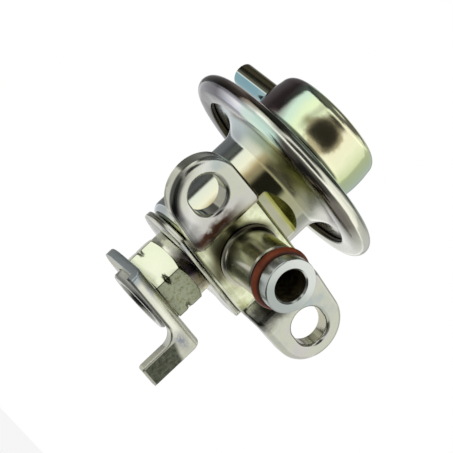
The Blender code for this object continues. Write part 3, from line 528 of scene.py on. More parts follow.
def yellow_chromate():
    """Bright zinc plate under a thin film whose colour drifts round the cap, with painted
    reflections on the cap and its rolled rim, and painted shade at the cup's foot and under the
    flange.
    """
    finish = Finish("yellow_chromate")
    angle, radius, z = finish.round_main()
    drift = finish.cloud(60.0, 3.0, 0.55, distortion=0.3)
    place = finish.turn()
    turn = place + (drift - 0.5) * 36.0
    # Film tint and painted reflection bands round the cap, by the turn
    finish.film = finish.round_tint_and_reflection(turn, [
        (-180.0, 0.52, 0.50, 0.38), (-110.0, 0.20, 0.15, 0.16), (-48.0, 0.14, 0.10, 0.10),
        (-42.0, 0.26, 0.27, 0.24), (-34.0, 0.60, 0.78, 0.62), (-20.0, 0.78, 0.90, 0.56),
        (-4.0, 0.88, 0.94, 0.62), (12.0, 0.90, 0.86, 0.60), (30.0, 0.88, 0.90, 0.60),
        (50.0, 0.60, 0.68, 0.37), (80.0, 0.44, 0.60, 0.48), (130.0, 0.56, 0.60, 0.46),
        (180.0, 0.52, 0.50, 0.38)])
    # The painted brown halo of the reflection in front, with a painted lobe on its left; its dark
    # middle is the studio's reflection
    swirl = finish.cloud(380.0, 4.0, 0.6, distortion=0.3)
    reflection_halo_turn, reflection_halo_z = 5.0, CUP_TOP_Z - 0.0071
    across = (place - reflection_halo_turn) / 15.0
    along = (z - reflection_halo_z) / 0.0037
    ring = across.length(along) + (swirl - 0.5) * 1.1
    lobe = place.band(-14.0, 5.0, 4.0) * z.band(reflection_halo_z - 0.0002, 0.0009, 0.0010)
    finish.coat((0.34, 0.31, 0.12), lobe * 0.7)
    finish.coat((0.44, 0.37, 0.19), ring.step(1.35, 0.95) * 0.8)
    # Painted shade in the crease at the cup's foot
    foot_z = COVER_FLANGE_TOP + CUP_FILLET
    root = z.step(foot_z + 0.00095, foot_z + 0.00045) * turn.step(52.0, 34.0)
    finish.coat((0.035, 0.050, 0.034), root * 0.9)
    # Painted reflection bands round the rolled rim, from its underside over the edge to its top
    roll = (radius - BEAD_CENTRE_R).math("MAXIMUM", -0.004)
    tube = (z - BEAD_CENTRE_Z).math("ARCTAN2", roll) / math.pi + 0.5 + (drift - 0.5) * 0.14
    left = finish.ramp(tube, [(0.00, 0.10, 0.10, 0.12), (0.10, 0.34, 0.35, 0.38),
                              (0.18, 0.80, 0.82, 0.90), (0.34, 0.98, 0.98, 1.00),
                              (0.41, 0.40, 0.40, 0.44), (0.47, 0.13, 0.12, 0.11),
                              (0.60, 0.30, 0.22, 0.17), (0.72, 0.60, 0.52, 0.46)])
    middle = finish.ramp(tube, [(0.00, 0.42, 0.54, 0.42), (0.10, 0.80, 0.98, 0.82),
                                (0.30, 0.66, 0.88, 0.78), (0.41, 0.58, 0.76, 0.64),
                                (0.47, 0.88, 0.92, 0.82), (0.54, 0.50, 0.52, 0.42),
                                (0.61, 0.12, 0.13, 0.09), (0.75, 0.12, 0.11, 0.09),
                                (1.00, 0.05, 0.045, 0.03)])
    right = finish.ramp(tube, [(0.00, 0.14, 0.13, 0.10), (0.28, 0.20, 0.18, 0.16),
                               (0.40, 0.26, 0.25, 0.20), (0.45, 0.96, 0.95, 0.82),
                               (0.62, 0.66, 0.67, 0.56), (0.70, 0.18, 0.19, 0.14),
                               (0.76, 0.30, 0.36, 0.30), (0.82, 0.70, 0.84, 0.70),
                               (1.00, 0.36, 0.55, 0.42)])
    plain = (0.72, 0.74, 0.66)
    bands = finish.mix(left, middle, turn.step(-36.0, -27.0))
    bands = finish.mix(bands, right, turn.step(-14.0, -3.0))
    bands = finish.mix(bands, plain, turn.step(46.0, 76.0))
    # Painted dimming of the rim's reflections on the left side
    rim_reflection_dimming = finish.round_tint_and_reflection(place, [
        (-180.0, 0.8, 0.8, 0.76), (-90.0, 0.18, 0.18, 0.19), (-58.0, 0.20, 0.19, 0.20),
        (-46.0, 0.72, 0.72, 0.74), (-40.0, 1.0, 1.0, 1.0), (180.0, 0.9, 0.9, 0.85)])
    bands = finish.mix(bands, rim_reflection_dimming, 1.0, "MULTIPLY")
    finish.coat(bands, radius.step(RIM_RADIUS - 0.0077, RIM_RADIUS - 0.0055))
    # Painted shade on the turned-in edge under the flange
    lip_shade = radius.step(LIP_RADIUS + 0.0006, LIP_RADIUS + 0.0001)
    lip_shade = lip_shade * z.step(RIM_Z - 0.0010, RIM_Z - 0.0016)
    finish.coat((0.05, 0.045, 0.025), lip_shade * radius.step(LIP_RADIUS - 0.0027, LIP_RADIUS - 0.0017))
    fine = finish.cloud(1100.0, 3.0, 0.6)
    lines = finish.lines(angle, radius, z, 5.0, 7000.0)
    waves = finish.cloud(300.0, 3.0, 0.55)
    swell = finish.cloud(130.0, 1.0, 0.5)
    rough = 0.09 + drift * 0.06 + fine * 0.04
    height = swell * 5.0 + waves * 1.6 + lines * 0.25 + fine * 0.2
    return finish.put(rough, height, bump=0.2)


def green_chromate():
    """Drawn steel under a thin plate: drawing lines, colour clouds, painted reflection bands round
    the body, and painted shade at the bell's root and under the crimp.
    """
    finish = Finish("green_chromate")
    angle, radius, z = finish.round_main()
    drift = finish.cloud(75.0, 3.0, 0.55, distortion=0.4)
    place = finish.turn()
    turn = place + (drift - 0.5) * 20.0
    # Film tint and painted reflection bands round the body, by the turn
    finish.film = finish.round_tint_and_reflection(turn, [
        (-180.0, 0.50, 0.50, 0.42), (-95.0, 0.36, 0.40, 0.43), (-56.0, 0.44, 0.48, 0.48),
        (-42.0, 0.72, 0.78, 0.66), (-26.0, 0.84, 0.84, 0.62), (-19.0, 0.50, 0.42, 0.22),
        (-8.0, 0.26, 0.24, 0.13), (20.0, 0.36, 0.36, 0.20), (44.0, 0.38, 0.38, 0.26),
        (60.0, 0.42, 0.44, 0.37), (78.0, 0.84, 0.84, 0.74), (110.0, 0.60, 0.62, 0.54),
        (180.0, 0.50, 0.50, 0.42)])
    # The bell's film tint and painted reflection bands
    bell = finish.round_tint_and_reflection(turn, [
        (-180.0, 0.50, 0.50, 0.42), (-90.0, 0.46, 0.54, 0.57), (-56.0, 0.50, 0.58, 0.58),
        (-26.0, 0.36, 0.44, 0.30), (-8.0, 0.42, 0.42, 0.20), (18.0, 0.44, 0.43, 0.20),
        (42.0, 0.38, 0.40, 0.32), (64.0, 0.80, 0.79, 0.72), (180.0, 0.50, 0.50, 0.42)])
    finish.coat(bell, (radius - BODY_RADIUS).step(0.00015, 0.00175))
    # The pressed flat, olive on its shoulder
    pressed = place.step(3.0, 8.0) * place.step(72.0, 66.0)
    pressed = pressed * radius.step(BODY_RADIUS - 0.00007, BODY_RADIUS - 0.0002)
    flat = finish.ramp(drift, [(0.35, 0.34, 0.36, 0.22), (0.6, 0.44, 0.44, 0.32)])
    shoulder = finish.ramp(drift, [(0.35, 0.34, 0.34, 0.08), (0.6, 0.48, 0.48, 0.16)])
    press_z = RIM_Z - FLAT_TOP
    flat = finish.mix(flat, shoulder, z.step(press_z - 0.0012, press_z))
    finish.coat(flat, pressed)
    # Painted shade where the bell turns into the flange, and under the crimp
    front = place.step(-84.0, -66.0) * place.step(92.0, 72.0)
    bell_r = BODY_RADIUS + FLARE_RADIUS
    root = radius.step(bell_r - 0.00265, bell_r - 0.00125) * front
    finish.coat((0.15, 0.13, 0.085), root * 0.85)
    crimp = radius.step(bell_r + 0.00075, bell_r + 0.00195)
    crimp = crimp * z.step(RIM_Z - 0.0046, RIM_Z - 0.0026)
    finish.coat((0.045, 0.035, 0.022), crimp * 0.95)
    soft = radius.step(BODY_RADIUS + 0.00015, BODY_RADIUS + 0.00065)
    soft = soft * place.step(-24.0, -10.0) * place.step(62.0, 46.0)
    lines = finish.lines(angle, radius, z, 260.0, 150.0)
    fine = finish.cloud(1000.0, 3.0, 0.6)
    rough = 0.07 + drift * 0.06 + lines * 0.04 + crimp * 0.2 + soft * 0.24
    return finish.put(rough, lines * 0.3 + fine * 0.3, bump=0.03)


def silver_zinc():
    """Satin plate on the bracket: silver ears, an olive middle, stains by the left joggle; painted
    shade on the right joggle and by the pipe, a painted highlight and dark reflections on the left
    ear.
    """
    finish = Finish("silver_zinc")
    drift = finish.cloud(95.0, 3.0, 0.55)
    spots = finish.cloud(260.0, 4.0, 0.6, distortion=0.4)
    finish.film = finish.ramp(drift, [(0.28, 0.51, 0.47, 0.50), (0.42, 0.60, 0.59, 0.54),
                                      (0.54, 0.60, 0.61, 0.50), (0.74, 0.46, 0.51, 0.49)])
    olive = finish.ramp(finish.cloud(170.0, 3.0, 0.5),
                        [(0.3, 0.56, 0.58, 0.28), (0.48, 0.84, 0.88, 0.60),
                         (0.6, 0.66, 0.68, 0.44), (0.75, 0.46, 0.44, 0.26)])
    x, y, z = finish.axes()
    middle = x.band(0.0, JOGGLE_START + 0.0005, 0.0014) * y.step(0.0010, 0.0034)
    finish.coat(olive, middle * 0.92)
    # Stains by the left joggle, and painted shade on the right one
    mark_x, stain_x, right_joggle_shade_x = -0.0128, -0.0150, 0.0130
    uneven = (spots - 0.5) * 0.004
    mark = (x + uneven).band(mark_x, 0.0010, 0.0012)
    finish.coat((0.36, 0.32, 0.12), mark * 0.7)
    stain = (x + uneven).band(stain_x, 0.0015, 0.0011)
    stain = stain * z.step(0.0070, -0.0010) * spots.step(0.22, 0.44)
    finish.coat((0.07, 0.032, 0.018), stain)
    right_joggle_shade = (x + uneven * 1.25).band(right_joggle_shade_x, 0.0024, 0.0018)
    finish.coat((0.05, 0.05, 0.04), right_joggle_shade * z.step(0.0010, -0.0030) * 0.95)
    # Dark at the pipe's foot, where the pipe hides the light
    from_pipe = x.length(z)
    shade = from_pipe.step(0.0092, 0.0074) * middle
    finish.coat((0.10, 0.09, 0.045), shade * x.step(0.0030, -0.0030) * 0.85)
    aside = (x * -0.80 - z * 0.60 + (spots - 0.5) * 0.003).step(0.0044, 0.0064)
    corner = from_pipe.step(0.0118, 0.0084) * middle * aside
    finish.coat((0.08, 0.068, 0.028), corner * 0.9)
    # On the ears: painted dark reflections on the lower edge at the left and round the slot's
    # upper right, a painted highlight band, and the slots' walls
    ear_x = EAR_X - x.math("ABSOLUTE")
    away = z.length(ear_x * 0.9)
    side = x.step(0.0, -0.0001)
    # Painted dark reflection on the left ear's lower outer edge
    low = (ear_x * 0.45 + z * 0.89 + (spots - 0.5) * 0.003).step(-0.0022, -0.0060)
    edge = z.length(ear_x).step(0.0063, 0.0074) * side * y.step(0.0019, 0.0012)
    finish.coat((0.06, 0.06, 0.055), edge * low * 0.95)
    # Painted dark reflection round the slot's rounded edge, on its upper right
    lit = (ear_x * 0.55 + z * 0.83).step(0.0010, 0.0034) * side
    finish.coat((0.15, 0.15, 0.14), away.band(0.0047, 0.0003, 0.0004) * lit * 0.8)
    # Painted highlight band across the left ear
    pale = (ear_x + z * 0.6 + 0.003 + (drift - 0.5) * 0.01).band(0.0, 0.0018, 0.0030) * side
    finish.coat((0.86, 0.87, 0.82), pale * z.step(0.0075, 0.0050) * 0.6)
    inside = away.step(0.0046, 0.0041) * y.step(0.0006, 0.0012)
    wall = finish.ramp(spots, [(0.35, 0.10, 0.10, 0.06), (0.5, 0.46, 0.40, 0.20),
                               (0.65, 0.62, 0.66, 0.56)])
    finish.coat(wall, inside * 0.8)
    finish.coat((0.70, 0.60, 0.28), inside * x.step(0.0, 0.0001) * 0.5)
    sheared = y.step(0.0020, 0.0030) * away.step(0.0078, 0.0082)
    sheared = sheared * x.math("ABSOLUTE").step(0.0150, 0.0170)
    finish.coat((0.22, 0.22, 0.18), sheared * spots.step(0.40, 0.52) * 0.7)
    grain = finish.cloud(1500.0, 4.0, 0.65)
    waves = finish.cloud(260.0, 2.0, 0.5)
    rough = 0.12 + drift * 0.08 + grain * 0.06 + stain * 0.1
    return finish.put(rough, grain + waves * 1.6, bump=0.12)


def shelf_zinc():
    """Thin rolled sheet, plated; its sheared edges are streaked."""
    finish = Finish("shelf_zinc")
    drift = finish.cloud(140.0, 3.0, 0.55)
    finish.film = finish.ramp(drift, [(0.3, 0.46, 0.47, 0.40), (0.5, 0.66, 0.66, 0.54),
                                      (0.7, 0.54, 0.56, 0.56)])
    x, y, z = finish.axes()
    layers = finish.cloud(1.0, 3.0, 0.6, vector=finish.vector(x * 90.0, y * 90.0, z * 2400.0))
    finish.coat((0.10, 0.10, 0.07), layers.step(0.50, 0.56) * 0.85)
    grain = finish.cloud(1500.0, 3.0, 0.6)
    return finish.put(0.14 + drift * 0.12, grain + layers * 2.0, bump=0.12)


def stopper_zinc():
    """Plated stamping: satin flange, grey-blue ends and a dark, rough tab; a painted highlight on
    the flange's front and painted shade along its lower edge.
    """
    finish = Finish("stopper_zinc")
    x, y, z = finish.axes()
    drift = finish.cloud(120.0, 3.0, 0.55)
    speckle = finish.cloud(900.0, 4.0, 0.7)
    finish.film = finish.ramp(drift, [(0.3, 0.46, 0.48, 0.48), (0.5, 0.58, 0.58, 0.47),
                                      (0.7, 0.68, 0.69, 0.56)])
    finish.coat((0.48, 0.54, 0.56), x.step(-0.0100, -0.0125) * 0.9)
    # Painted highlight along the flange's front face
    front = z.step(STOPPER_TOP_Z - 0.0015, STOPPER_TOP_Z - 0.0024) * x.step(-0.0118, -0.0100)
    front = front * y.step(STOPPER_HEM, STOPPER_HEM - 0.0004)
    finish.coat((0.94, 0.95, 0.80), front * x.step(0.0080, 0.0040) * 0.8)
    flange_z = STOPPER_TOP_Z - STOPPER_FLANGE
    # Painted shade along the flange's lower edge
    hem_shade = z.step(flange_z + 0.0007, flange_z + 0.0003)
    hem_shade = hem_shade * x.step(0.0050, 0.0030) * y.step(STOPPER_HEM, STOPPER_HEM - 0.0004)
    finish.coat((0.06, 0.06, 0.05), hem_shade * 0.85)
    cloudy = x.band(0.0085, 0.0022, 0.0020) * z.band(flange_z + 0.0004, 0.0009, 0.0012)
    finish.coat((0.26, 0.28, 0.33), cloudy * speckle.step(0.34, 0.54))
    # The tab's cut side, from the fillet down
    edge_x = STOPPER_HALF_WIDTH - TAB_WIDTH
    turn_x = x - (edge_x - TAB_FILLET)
    turn_z = z - (flange_z - TAB_FILLET)
    bow = turn_x.length(turn_z)
    side = bow.step(TAB_FILLET + 0.00025, TAB_FILLET + 0.0006)
    side = side.math("MAXIMUM", z.step(flange_z - TAB_FILLET, flange_z - TAB_FILLET - 0.0003))
    side = side * x.step(edge_x + 0.0003, edge_x + 0.00065)
    tab_end_z = STOPPER_TOP_Z - TAB_LENGTH
    foot = z.step(tab_end_z + 0.0003, tab_end_z + 0.0006)
    tab = (z + (x - 0.0100) * 0.22 + drift * 0.0012).step(-0.0243, -0.0256)
    dark = finish.ramp(speckle, [(0.35, 0.055, 0.062, 0.040), (0.65, 0.13, 0.14, 0.10)])
    finish.coat(dark, tab * side * foot)
    rough = 0.18 + drift * 0.10 + speckle * 0.06 + tab * 0.12
    return finish.put(rough, speckle, bump=0.16)


def turned_zinc():
    """Machined bar, olive on the barrel and clean on the collar, with fine tool rings; a painted
    highlight on the barrel, painted shade at its foot, and the collar painted darker below.
    """
    finish = Finish("turned_zinc")
    angle, radius, y = finish.round_pipe()
    drift = finish.cloud(130.0, 3.0, 0.5)
    barrel = finish.ramp(drift, [(0.3, 0.38, 0.37, 0.26), (0.5, 0.54, 0.53, 0.40),
                                 (0.7, 0.66, 0.66, 0.54)])
    x, _, z = finish.axes()
    # Painted highlight band along the barrel
    lit = finish.ramp(drift, [(0.3, 0.58, 0.57, 0.44), (0.7, 0.78, 0.78, 0.64)])
    barrel = finish.mix(barrel, lit, (x * 0.5 - z * 0.87).band(0.0016, 0.0030, 0.0020) * 0.8)
    # The collar's clean tint, painted darker below and lighter on top as painted shading
    clean = finish.ramp(drift * 0.4 + (z - x * 0.2).step(-0.0080, 0.0070) * 0.6,
                        [(0.2, 0.42, 0.46, 0.43), (0.8, 0.72, 0.75, 0.70)])
    collar = y.step(COLLAR_BACK + 0.0004, COLLAR_BACK)
    finish.film = finish.mix(barrel, clean, collar)
    bore = radius.step(PIPE_BORE + 0.00012, PIPE_BORE + 0.00002)
    bore = bore * y.step(-PIPE_END, -PIPE_END + 0.0008)
    inside = finish.ramp(finish.cloud(500.0, 3.0, 0.6), [(0.35, 0.16, 0.13, 0.07),
                                                         (0.65, 0.42, 0.38, 0.22)])
    finish.coat(inside, bore)
    # Painted shade on the barrel's left side at its foot, by the bracket
    foot = (y + (x + z) * 0.25).step(0.0006, 0.0030) * x.step(0.0020, -0.0040)
    finish.coat((0.035, 0.03, 0.015), foot * 0.95)
    rings = finish.lines(angle, radius, y, 1.5, 9000.0)
    grain = finish.cloud(1500.0, 3.0, 0.6)
    rough = 0.15 + rings * 0.08 + grain * 0.06 + bore * 0.3
    return finish.put(rough, rings * 0.5 + grain * 0.5, bump=0.10)


def hexagon_zinc():
    """Machined union: each flat took the plate differently, one is khaki and mottled; painted
    reflection bands round the neck, painted shade in the groove and the port.
    """
    finish = Finish("hexagon_zinc")
    angle, radius, z = finish.round_main()
    mottle = finish.cloud(760.0, 4.0, 0.75, distortion=0.2)
    grain = finish.cloud(1600.0, 4.0, 0.6)
    drift = finish.cloud(160.0, 3.0, 0.5)
    pale = finish.ramp(drift, [(0.3, 0.80, 0.85, 0.62), (0.7, 0.88, 0.92, 0.70)])
    khaki = finish.ramp(mottle, [(0.34, 0.20, 0.20, 0.10), (0.46, 0.30, 0.32, 0.21),
                                 (0.54, 0.36, 0.39, 0.28), (0.64, 0.27, 0.27, 0.14)])
    place = finish.turn()
    height = z.step(HEX_TOP_Z + 0.0002, HEX_TOP_Z - 0.0002)
    height = height * z.step(HEX_UNDER_Z - 0.0002, HEX_UNDER_Z)
    side = (angle - HEX_TURN) / math.radians(60.0)
    dull = side.math("FLOOR").math("FLOORED_MODULO", 3.0).band(1.0, 0.4, 0.1)
    finish.film = finish.mix(pale, khaki, dull)
    # Painted reflection bands round the neck, by the turn
    neck = finish.round_tint_and_reflection(place + (drift - 0.5) * 50.0, [
        (-180.0, 0.50, 0.50, 0.40), (-60.0, 0.84, 0.86, 0.70), (-28.0, 0.94, 0.94, 0.78),
        (-10.0, 0.12, 0.10, 0.10), (20.0, 0.07, 0.05, 0.08), (44.0, 0.30, 0.26, 0.20),
        (70.0, 0.86, 0.82, 0.58), (180.0, 0.50, 0.50, 0.40)])
    finish.film = finish.mix(neck, finish.film, height)
    corner = (side.math("FRACT") - 0.5).math("ABSOLUTE").step(0.484, 0.494) * height
    finish.coat((0.04, 0.035, 0.02), corner * 0.9)
    # The groove, the boss with its skirt, and the port; the groove and the port are darkened as
    # painted shade
    groove = z.band(HEX_TOP_Z - GROOVE_DROP, 0.0006, 0.00015) * height
    groove = groove * radius.step(GROOVE_FLOOR + 0.00005, GROOVE_FLOOR + 0.0003)
    finish.coat((0.05, 0.045, 0.03), groove * 0.7)
    boss = z.step(STOPPER_UNDER_Z + 0.0003, STOPPER_UNDER_Z)
    finish.coat((0.26, 0.27, 0.24), boss * 0.85)
    skirt = z.step(BOSS_UNDER_Z + 0.0010, BOSS_UNDER_Z + 0.0004) * radius.step(0.0070, 0.0076)
    finish.coat((0.20, 0.20, 0.18), skirt)
    port = radius.step(PORT_RADIUS + 0.0003, PORT_RADIUS + 0.0001)
    port = port * z.step(STOPPER_TOP_Z + 0.008, BOSS_UNDER_Z + 0.004)
    port = port * z.step(BOSS_UNDER_Z, BOSS_UNDER_Z + 0.0008)
    finish.coat((0.06, 0.05, 0.035), port)
    rough = 0.15 + mottle * 0.08 + dull * height * 0.14
    return finish.put(rough, grain * 0.6, bump=0.06)


def dark_tube():
    """Bright-drawn tube with a blue-black film and painted reflection bands along it."""
    finish = Finish("dark_tube")
    drift = finish.cloud(120.0, 2.0, 0.5)
    finish.film = finish.ramp(drift, [(0.3, 0.24, 0.42, 0.48), (0.6, 0.34, 0.52, 0.54)])
    _, _, z = finish.axes()
    # Painted reflection bands along the tube: a bright line below its axis, olive above it, dark
    # about the axis
    height = z - RIM_Z - NIPPLE_HEIGHT
    finish.coat((0.84, 0.98, 0.96), height.band(-0.00105, 0.00012, 0.0001))
    finish.coat((0.30, 0.27, 0.15), height.step(-0.0010, -0.0008))
    finish.coat((0.10, 0.10, 0.07), height.band(-0.0002, 0.0007, 0.0003))
    grain = finish.cloud(1200.0, 3.0, 0.6)
    return finish.put(0.07 + grain * 0.07, grain, bump=0.04)


def rust_rubber():
    """Rust-brown moulded rubber, with painted shade where it meets the collar."""
    finish = Finish("rust_rubber", metallic=0.0, Specular_IOR_Level=0.25)
    drift = finish.cloud(300.0, 3.0, 0.6)
    finish.film = finish.ramp(drift, [(0.3, 0.11, 0.018, 0.003), (0.6, 0.18, 0.034, 0.006),
                                      (0.8, 0.26, 0.060, 0.012)])
    _, y, _ = finish.axes()
    # Painted shade where the ring meets the collar
    collar_contact_shade = y.step(COLLAR_BACK + 0.0006, COLLAR_BACK + 0.0001)
    finish.coat((0.012, 0.004, 0.002), collar_contact_shade)
    grain = finish.cloud(2500.0, 3.0, 0.6)
    return finish.put(0.34 + drift * 0.16, grain, bump=0.15)


def coated_fabric():
    """Matt black coated fabric of the diaphragm."""
    finish = Finish("coated_fabric", metallic=0.0)
    threads = [finish.add("ShaderNodeTexWave", {"wave_type": "BANDS", "bands_direction": way},
                          {"Vector": finish.place, "Scale": 900.0}) for way in "XY"]
    warp, weft = (Value(finish, thread.outputs["Fac"]) for thread in threads)
    cloth = warp * weft
    finish.film = finish.ramp(cloth, [(0.0, 0.012, 0.012, 0.013), (1.0, 0.045, 0.045, 0.047)])
    return finish.put(0.5 + cloth * 0.2, cloth, bump=0.3)


def spring_wire():
    """Plain oil-tempered steel."""
    finish = Finish("spring_wire")
    drift = finish.cloud(200.0, 3.0, 0.6)
    finish.film = finish.ramp(drift, [(0.3, 0.28, 0.28, 0.29), (0.7, 0.46, 0.46, 0.46)])
    return finish.put(0.22 + drift * 0.2, drift, bump=0.08)


def ground_steel():
    """Ground stainless steel of the valve and its seat."""
    finish = Finish("ground_steel")
    angle, radius, z = finish.round_main()
    lines = finish.lines(angle, radius, z, 2.0, 9000.0)
    finish.film = finish.ramp(lines, [(0.3, 0.62, 0.62, 0.63), (0.7, 0.78, 0.78, 0.78)])
    return finish.put(0.10 + lines * 0.12, lines, bump=0.05)


def nipple_tube(name, radius, start, end, bore, segments):
    """Lay a tube or rod on the nipple's axis between two distances from the main axis."""
    soft = 0.0002
    if bore > 0.0:
        outline = [(bore, start), (bore, end - soft), (bore + soft, end), (radius - soft, end),
                   (radius, end - soft), (radius, start)]
        item = turned(name, outline, segments)
    else:
        item = drill(name, radius, start, end, segments)
    item.rotation_euler = (math.radians(90.0), 0.0, math.pi + NIPPLE_YAW)
    item.location = (0.0, AXIS_Y, RIM_Z + NIPPLE_HEIGHT)
    return item


def make_spring_cover(surface):
    """Drawn cap, its edge rolled round the body's flange."""
    wall = COVER_WALL
    corner = CUP_RADIUS - CUP_CORNER
    fillet_r = CUP_RADIUS + CUP_FILLET
    fillet_z = COVER_FLANGE_TOP + CUP_FILLET
    lip_under = BEAD_CENTRE_Z - BEAD_RADIUS
    soft = 0.00025
    outline = [(0.0, CUP_TOP_Z)]
    low, high = fillet_z, CUP_TOP_Z - CUP_CORNER
    outline += [(r - CUP_CROWN, z) for r, z in arc(corner, high, CUP_CORNER, 90.0, 3.0, 16)]
    for step in range(1, 24):
        share = step / 24.0
        crown = CUP_CROWN * (2.0 * share - 1.0) ** 2
        outline.append((CUP_RADIUS - crown, high + (low - high) * share))
    outline += [(r - CUP_CROWN, z) for r, z in arc(fillet_r, low, CUP_FILLET, 183.0, 270.0, 12)]
    outline += arc(BEAD_CENTRE_R, BEAD_CENTRE_Z, BEAD_RADIUS, 90.0, -90.0, 28)
    outline += arc(LIP_RADIUS + soft, lip_under + soft, soft, 270.0, 180.0, 3)
    outline += [(LIP_RADIUS, lip_under + wall)]
    outline += arc(BEAD_CENTRE_R, BEAD_CENTRE_Z, BEAD_RADIUS - wall, -90.0, 90.0, 10)
    outline += arc(fillet_r, fillet_z, CUP_FILLET + wall, 270.0, 180.0, 6)
    outline += arc(corner, CUP_TOP_Z - CUP_CORNER, CUP_CORNER - wall, 0.0, 90.0, 6)
    outline += [(0.0, CUP_TOP_Z - wall)]
    cover = on_main_axis(turned("cover", outline))
    combine(cover, nipple_tube("nipple_drill", NIPPLE_RADIUS + BORE_GAP, 0.5 * CUP_RADIUS,
                               NIPPLE_REACH, 0.0, DRILL_ROUND))
    return finished(cover, surface, "spring_cover")


def make_vacuum_nipple(surface):
    """Plain tube through the cap's wall."""
    start = CUP_RADIUS - COVER_WALL - NIPPLE_INSIDE
    bore = NIPPLE_RADIUS - NIPPLE_WALL
    tube = nipple_tube("nipple", NIPPLE_RADIUS, start, NIPPLE_REACH, bore, 96)
    return finished(tube, surface, "vacuum_nipple")


def flat_press(name, inset):
    """Return the block that presses the body's flat, or its inner side one wall further in."""
    distance = FLAT_DISTANCE - inset
    bend = FLAT_BEND + inset
    low = BODY_BOTTOM_Z - CUT_OVER
    reach = BODY_RADIUS + FLARE_RADIUS
    centre_z = RIM_Z - FLAT_TOP - FLAT_BEND * math.tan(math.radians(22.5))
    curve = arc(distance + bend, centre_z, bend, 135.0, 180.0, 10)
    shoulder = curve[0][1] + reach - curve[0][0]
    outline = [(distance, low), (reach, low), (reach, shoulder)] + curve
    half = BODY_RADIUS + CUT_OVER
    shape = swept([(-half, -y, z) for y, z in outline], (2.0 * half, 0, 0))
    return on_main_axis(as_object(name, shape))


def make_lower_body(surface):
    """Drawn fuel chamber with its bell-shaped flare and pressed flat."""
    wall = BODY_WALL
    flare_r = BODY_RADIUS + FLARE_RADIUS
    flare_z = BODY_FLANGE_UNDER - FLARE_RADIUS
    corner_r = BODY_RADIUS - BODY_CORNER
    corner_z = BODY_BOTTOM_Z + BODY_CORNER
    outside = [(BODY_FLANGE_RADIUS, BODY_FLANGE_TOP), (BODY_FLANGE_RADIUS, BODY_FLANGE_UNDER)]
    outside += arc(flare_r, flare_z, FLARE_RADIUS, 90.0, 180.0, 22)
    outside += arc(corner_r, corner_z, BODY_CORNER, 0.0, -90.0, 14)
    outside += [(0.0, BODY_BOTTOM_Z), (0.0, BODY_FLANGE_TOP)]
    body = on_main_axis(turned("body", outside))
    combine(body, flat_press("flat_press", 0.0))
    inside = [(0.0, BODY_FLANGE_TOP + CUT_OVER), (flare_r, BODY_FLANGE_TOP + CUT_OVER)]
    inside += arc(flare_r, flare_z, FLARE_RADIUS + wall, 90.0, 180.0, 8)
    inside += arc(corner_r, corner_z, BODY_CORNER - wall, 0.0, -90.0, 4)
    inside += [(0.0, BODY_BOTTOM_Z + wall)]
    hollow = on_main_axis(turned("body_hollow", inside, 96))
    combine(hollow, flat_press("hollow_flat", wall))
    combine(body, hollow)
    combine(body, on_main_axis(drill("tail_drill", TAIL_HOLE, BODY_BOTTOM_Z - CUT_OVER,
                                     BODY_BOTTOM_Z + wall + CUT_OVER)))
    combine(body, along_pipe(drill("inlet_drill", SPIGOT_HOLE, -AXIS_Y + 0.5 * BODY_RADIUS,
                                   -AXIS_Y + BODY_RADIUS + CUT_OVER)))
    return finished(body, surface, "lower_body", 24.0)


def make_inlet_pipe(surface):
    """Turned pipe: barrel, O-ring groove, collar and bore."""
    face = PIPE_END
    front = face - COLLAR_LENGTH
    back = front - GROOVE_WIDTH
    foot = -RECESS + SEAT_GAP
    spigot_end = -(AXIS_Y - FLAT_DISTANCE) - BODY_WALL - SPIGOT_INSIDE
    soft = 0.00012
    chamfer = COLLAR_CHAMFER
    outline = [(PIPE_BORE, spigot_end), (SPIGOT_RADIUS, spigot_end), (SPIGOT_RADIUS, foot)]
    outline += arc(PIPE_RADIUS + PIPE_FOOT, foot + PIPE_FOOT, PIPE_FOOT, 270.0, 180.0, 8)
    outline += [(PIPE_RADIUS, back - chamfer), (PIPE_RADIUS - chamfer, back), (GROOVE_BASE, back),
                (GROOVE_BASE, front), (COLLAR_RADIUS - soft, front), (COLLAR_RADIUS, front + soft)]
    outline += arc(COLLAR_RADIUS - chamfer, face - chamfer, chamfer, 0.0, 90.0, 5)
    outline += [(PIPE_BORE + PIPE_BORE_CHAMFER, face), (PIPE_BORE, face - PIPE_BORE_CHAMFER)]
    return finished(along_pipe(turned("pipe", outline)), surface, "inlet_pipe")


def make_o_ring(surface):
    """Sealing ring, standing proud of the pipe."""
    middle = PIPE_END - COLLAR_LENGTH - 0.5 * RING_WIRE - 0.5 * SEAT_GAP
    outline = arc(RING_RADIUS, middle, 0.5 * RING_WIRE, 0.0, 360.0, 32)[:-1]
    return finished(along_pipe(turned("ring", outline)), surface, "o_ring", 60.0)


def stations(shape, axis, places):
    """Cut edge loops across a blank at the given coordinates along one axis."""
    normal = Vector((0, 0, 0))
    normal[axis] = 1.0
    for place in places:
        spot = Vector((0, 0, 0))
        spot[axis] = place
        everything = shape.verts[:] + shape.edges[:] + shape.faces[:]
        bmesh.ops.bisect_plane(shape, geom=everything, dist=TINY, plane_co=spot, plane_no=normal)


def round_face_edges(shape, width, segments):
    """Round the edges between the tagged face of a sheet and its cut sides."""
    face_out(shape)
    chosen = []
    for edge in shape.edges:
        if not all(vert.tag for vert in edge.verts):
            continue
        if len(edge.link_faces) == 2 and edge.calc_face_angle() > math.radians(60.0):
            chosen.append(edge)
    bmesh.ops.bevel(shape, geom=chosen, offset=width, segments=segments, profile=0.5,
                    affect="EDGES", clamp_overlap=True)


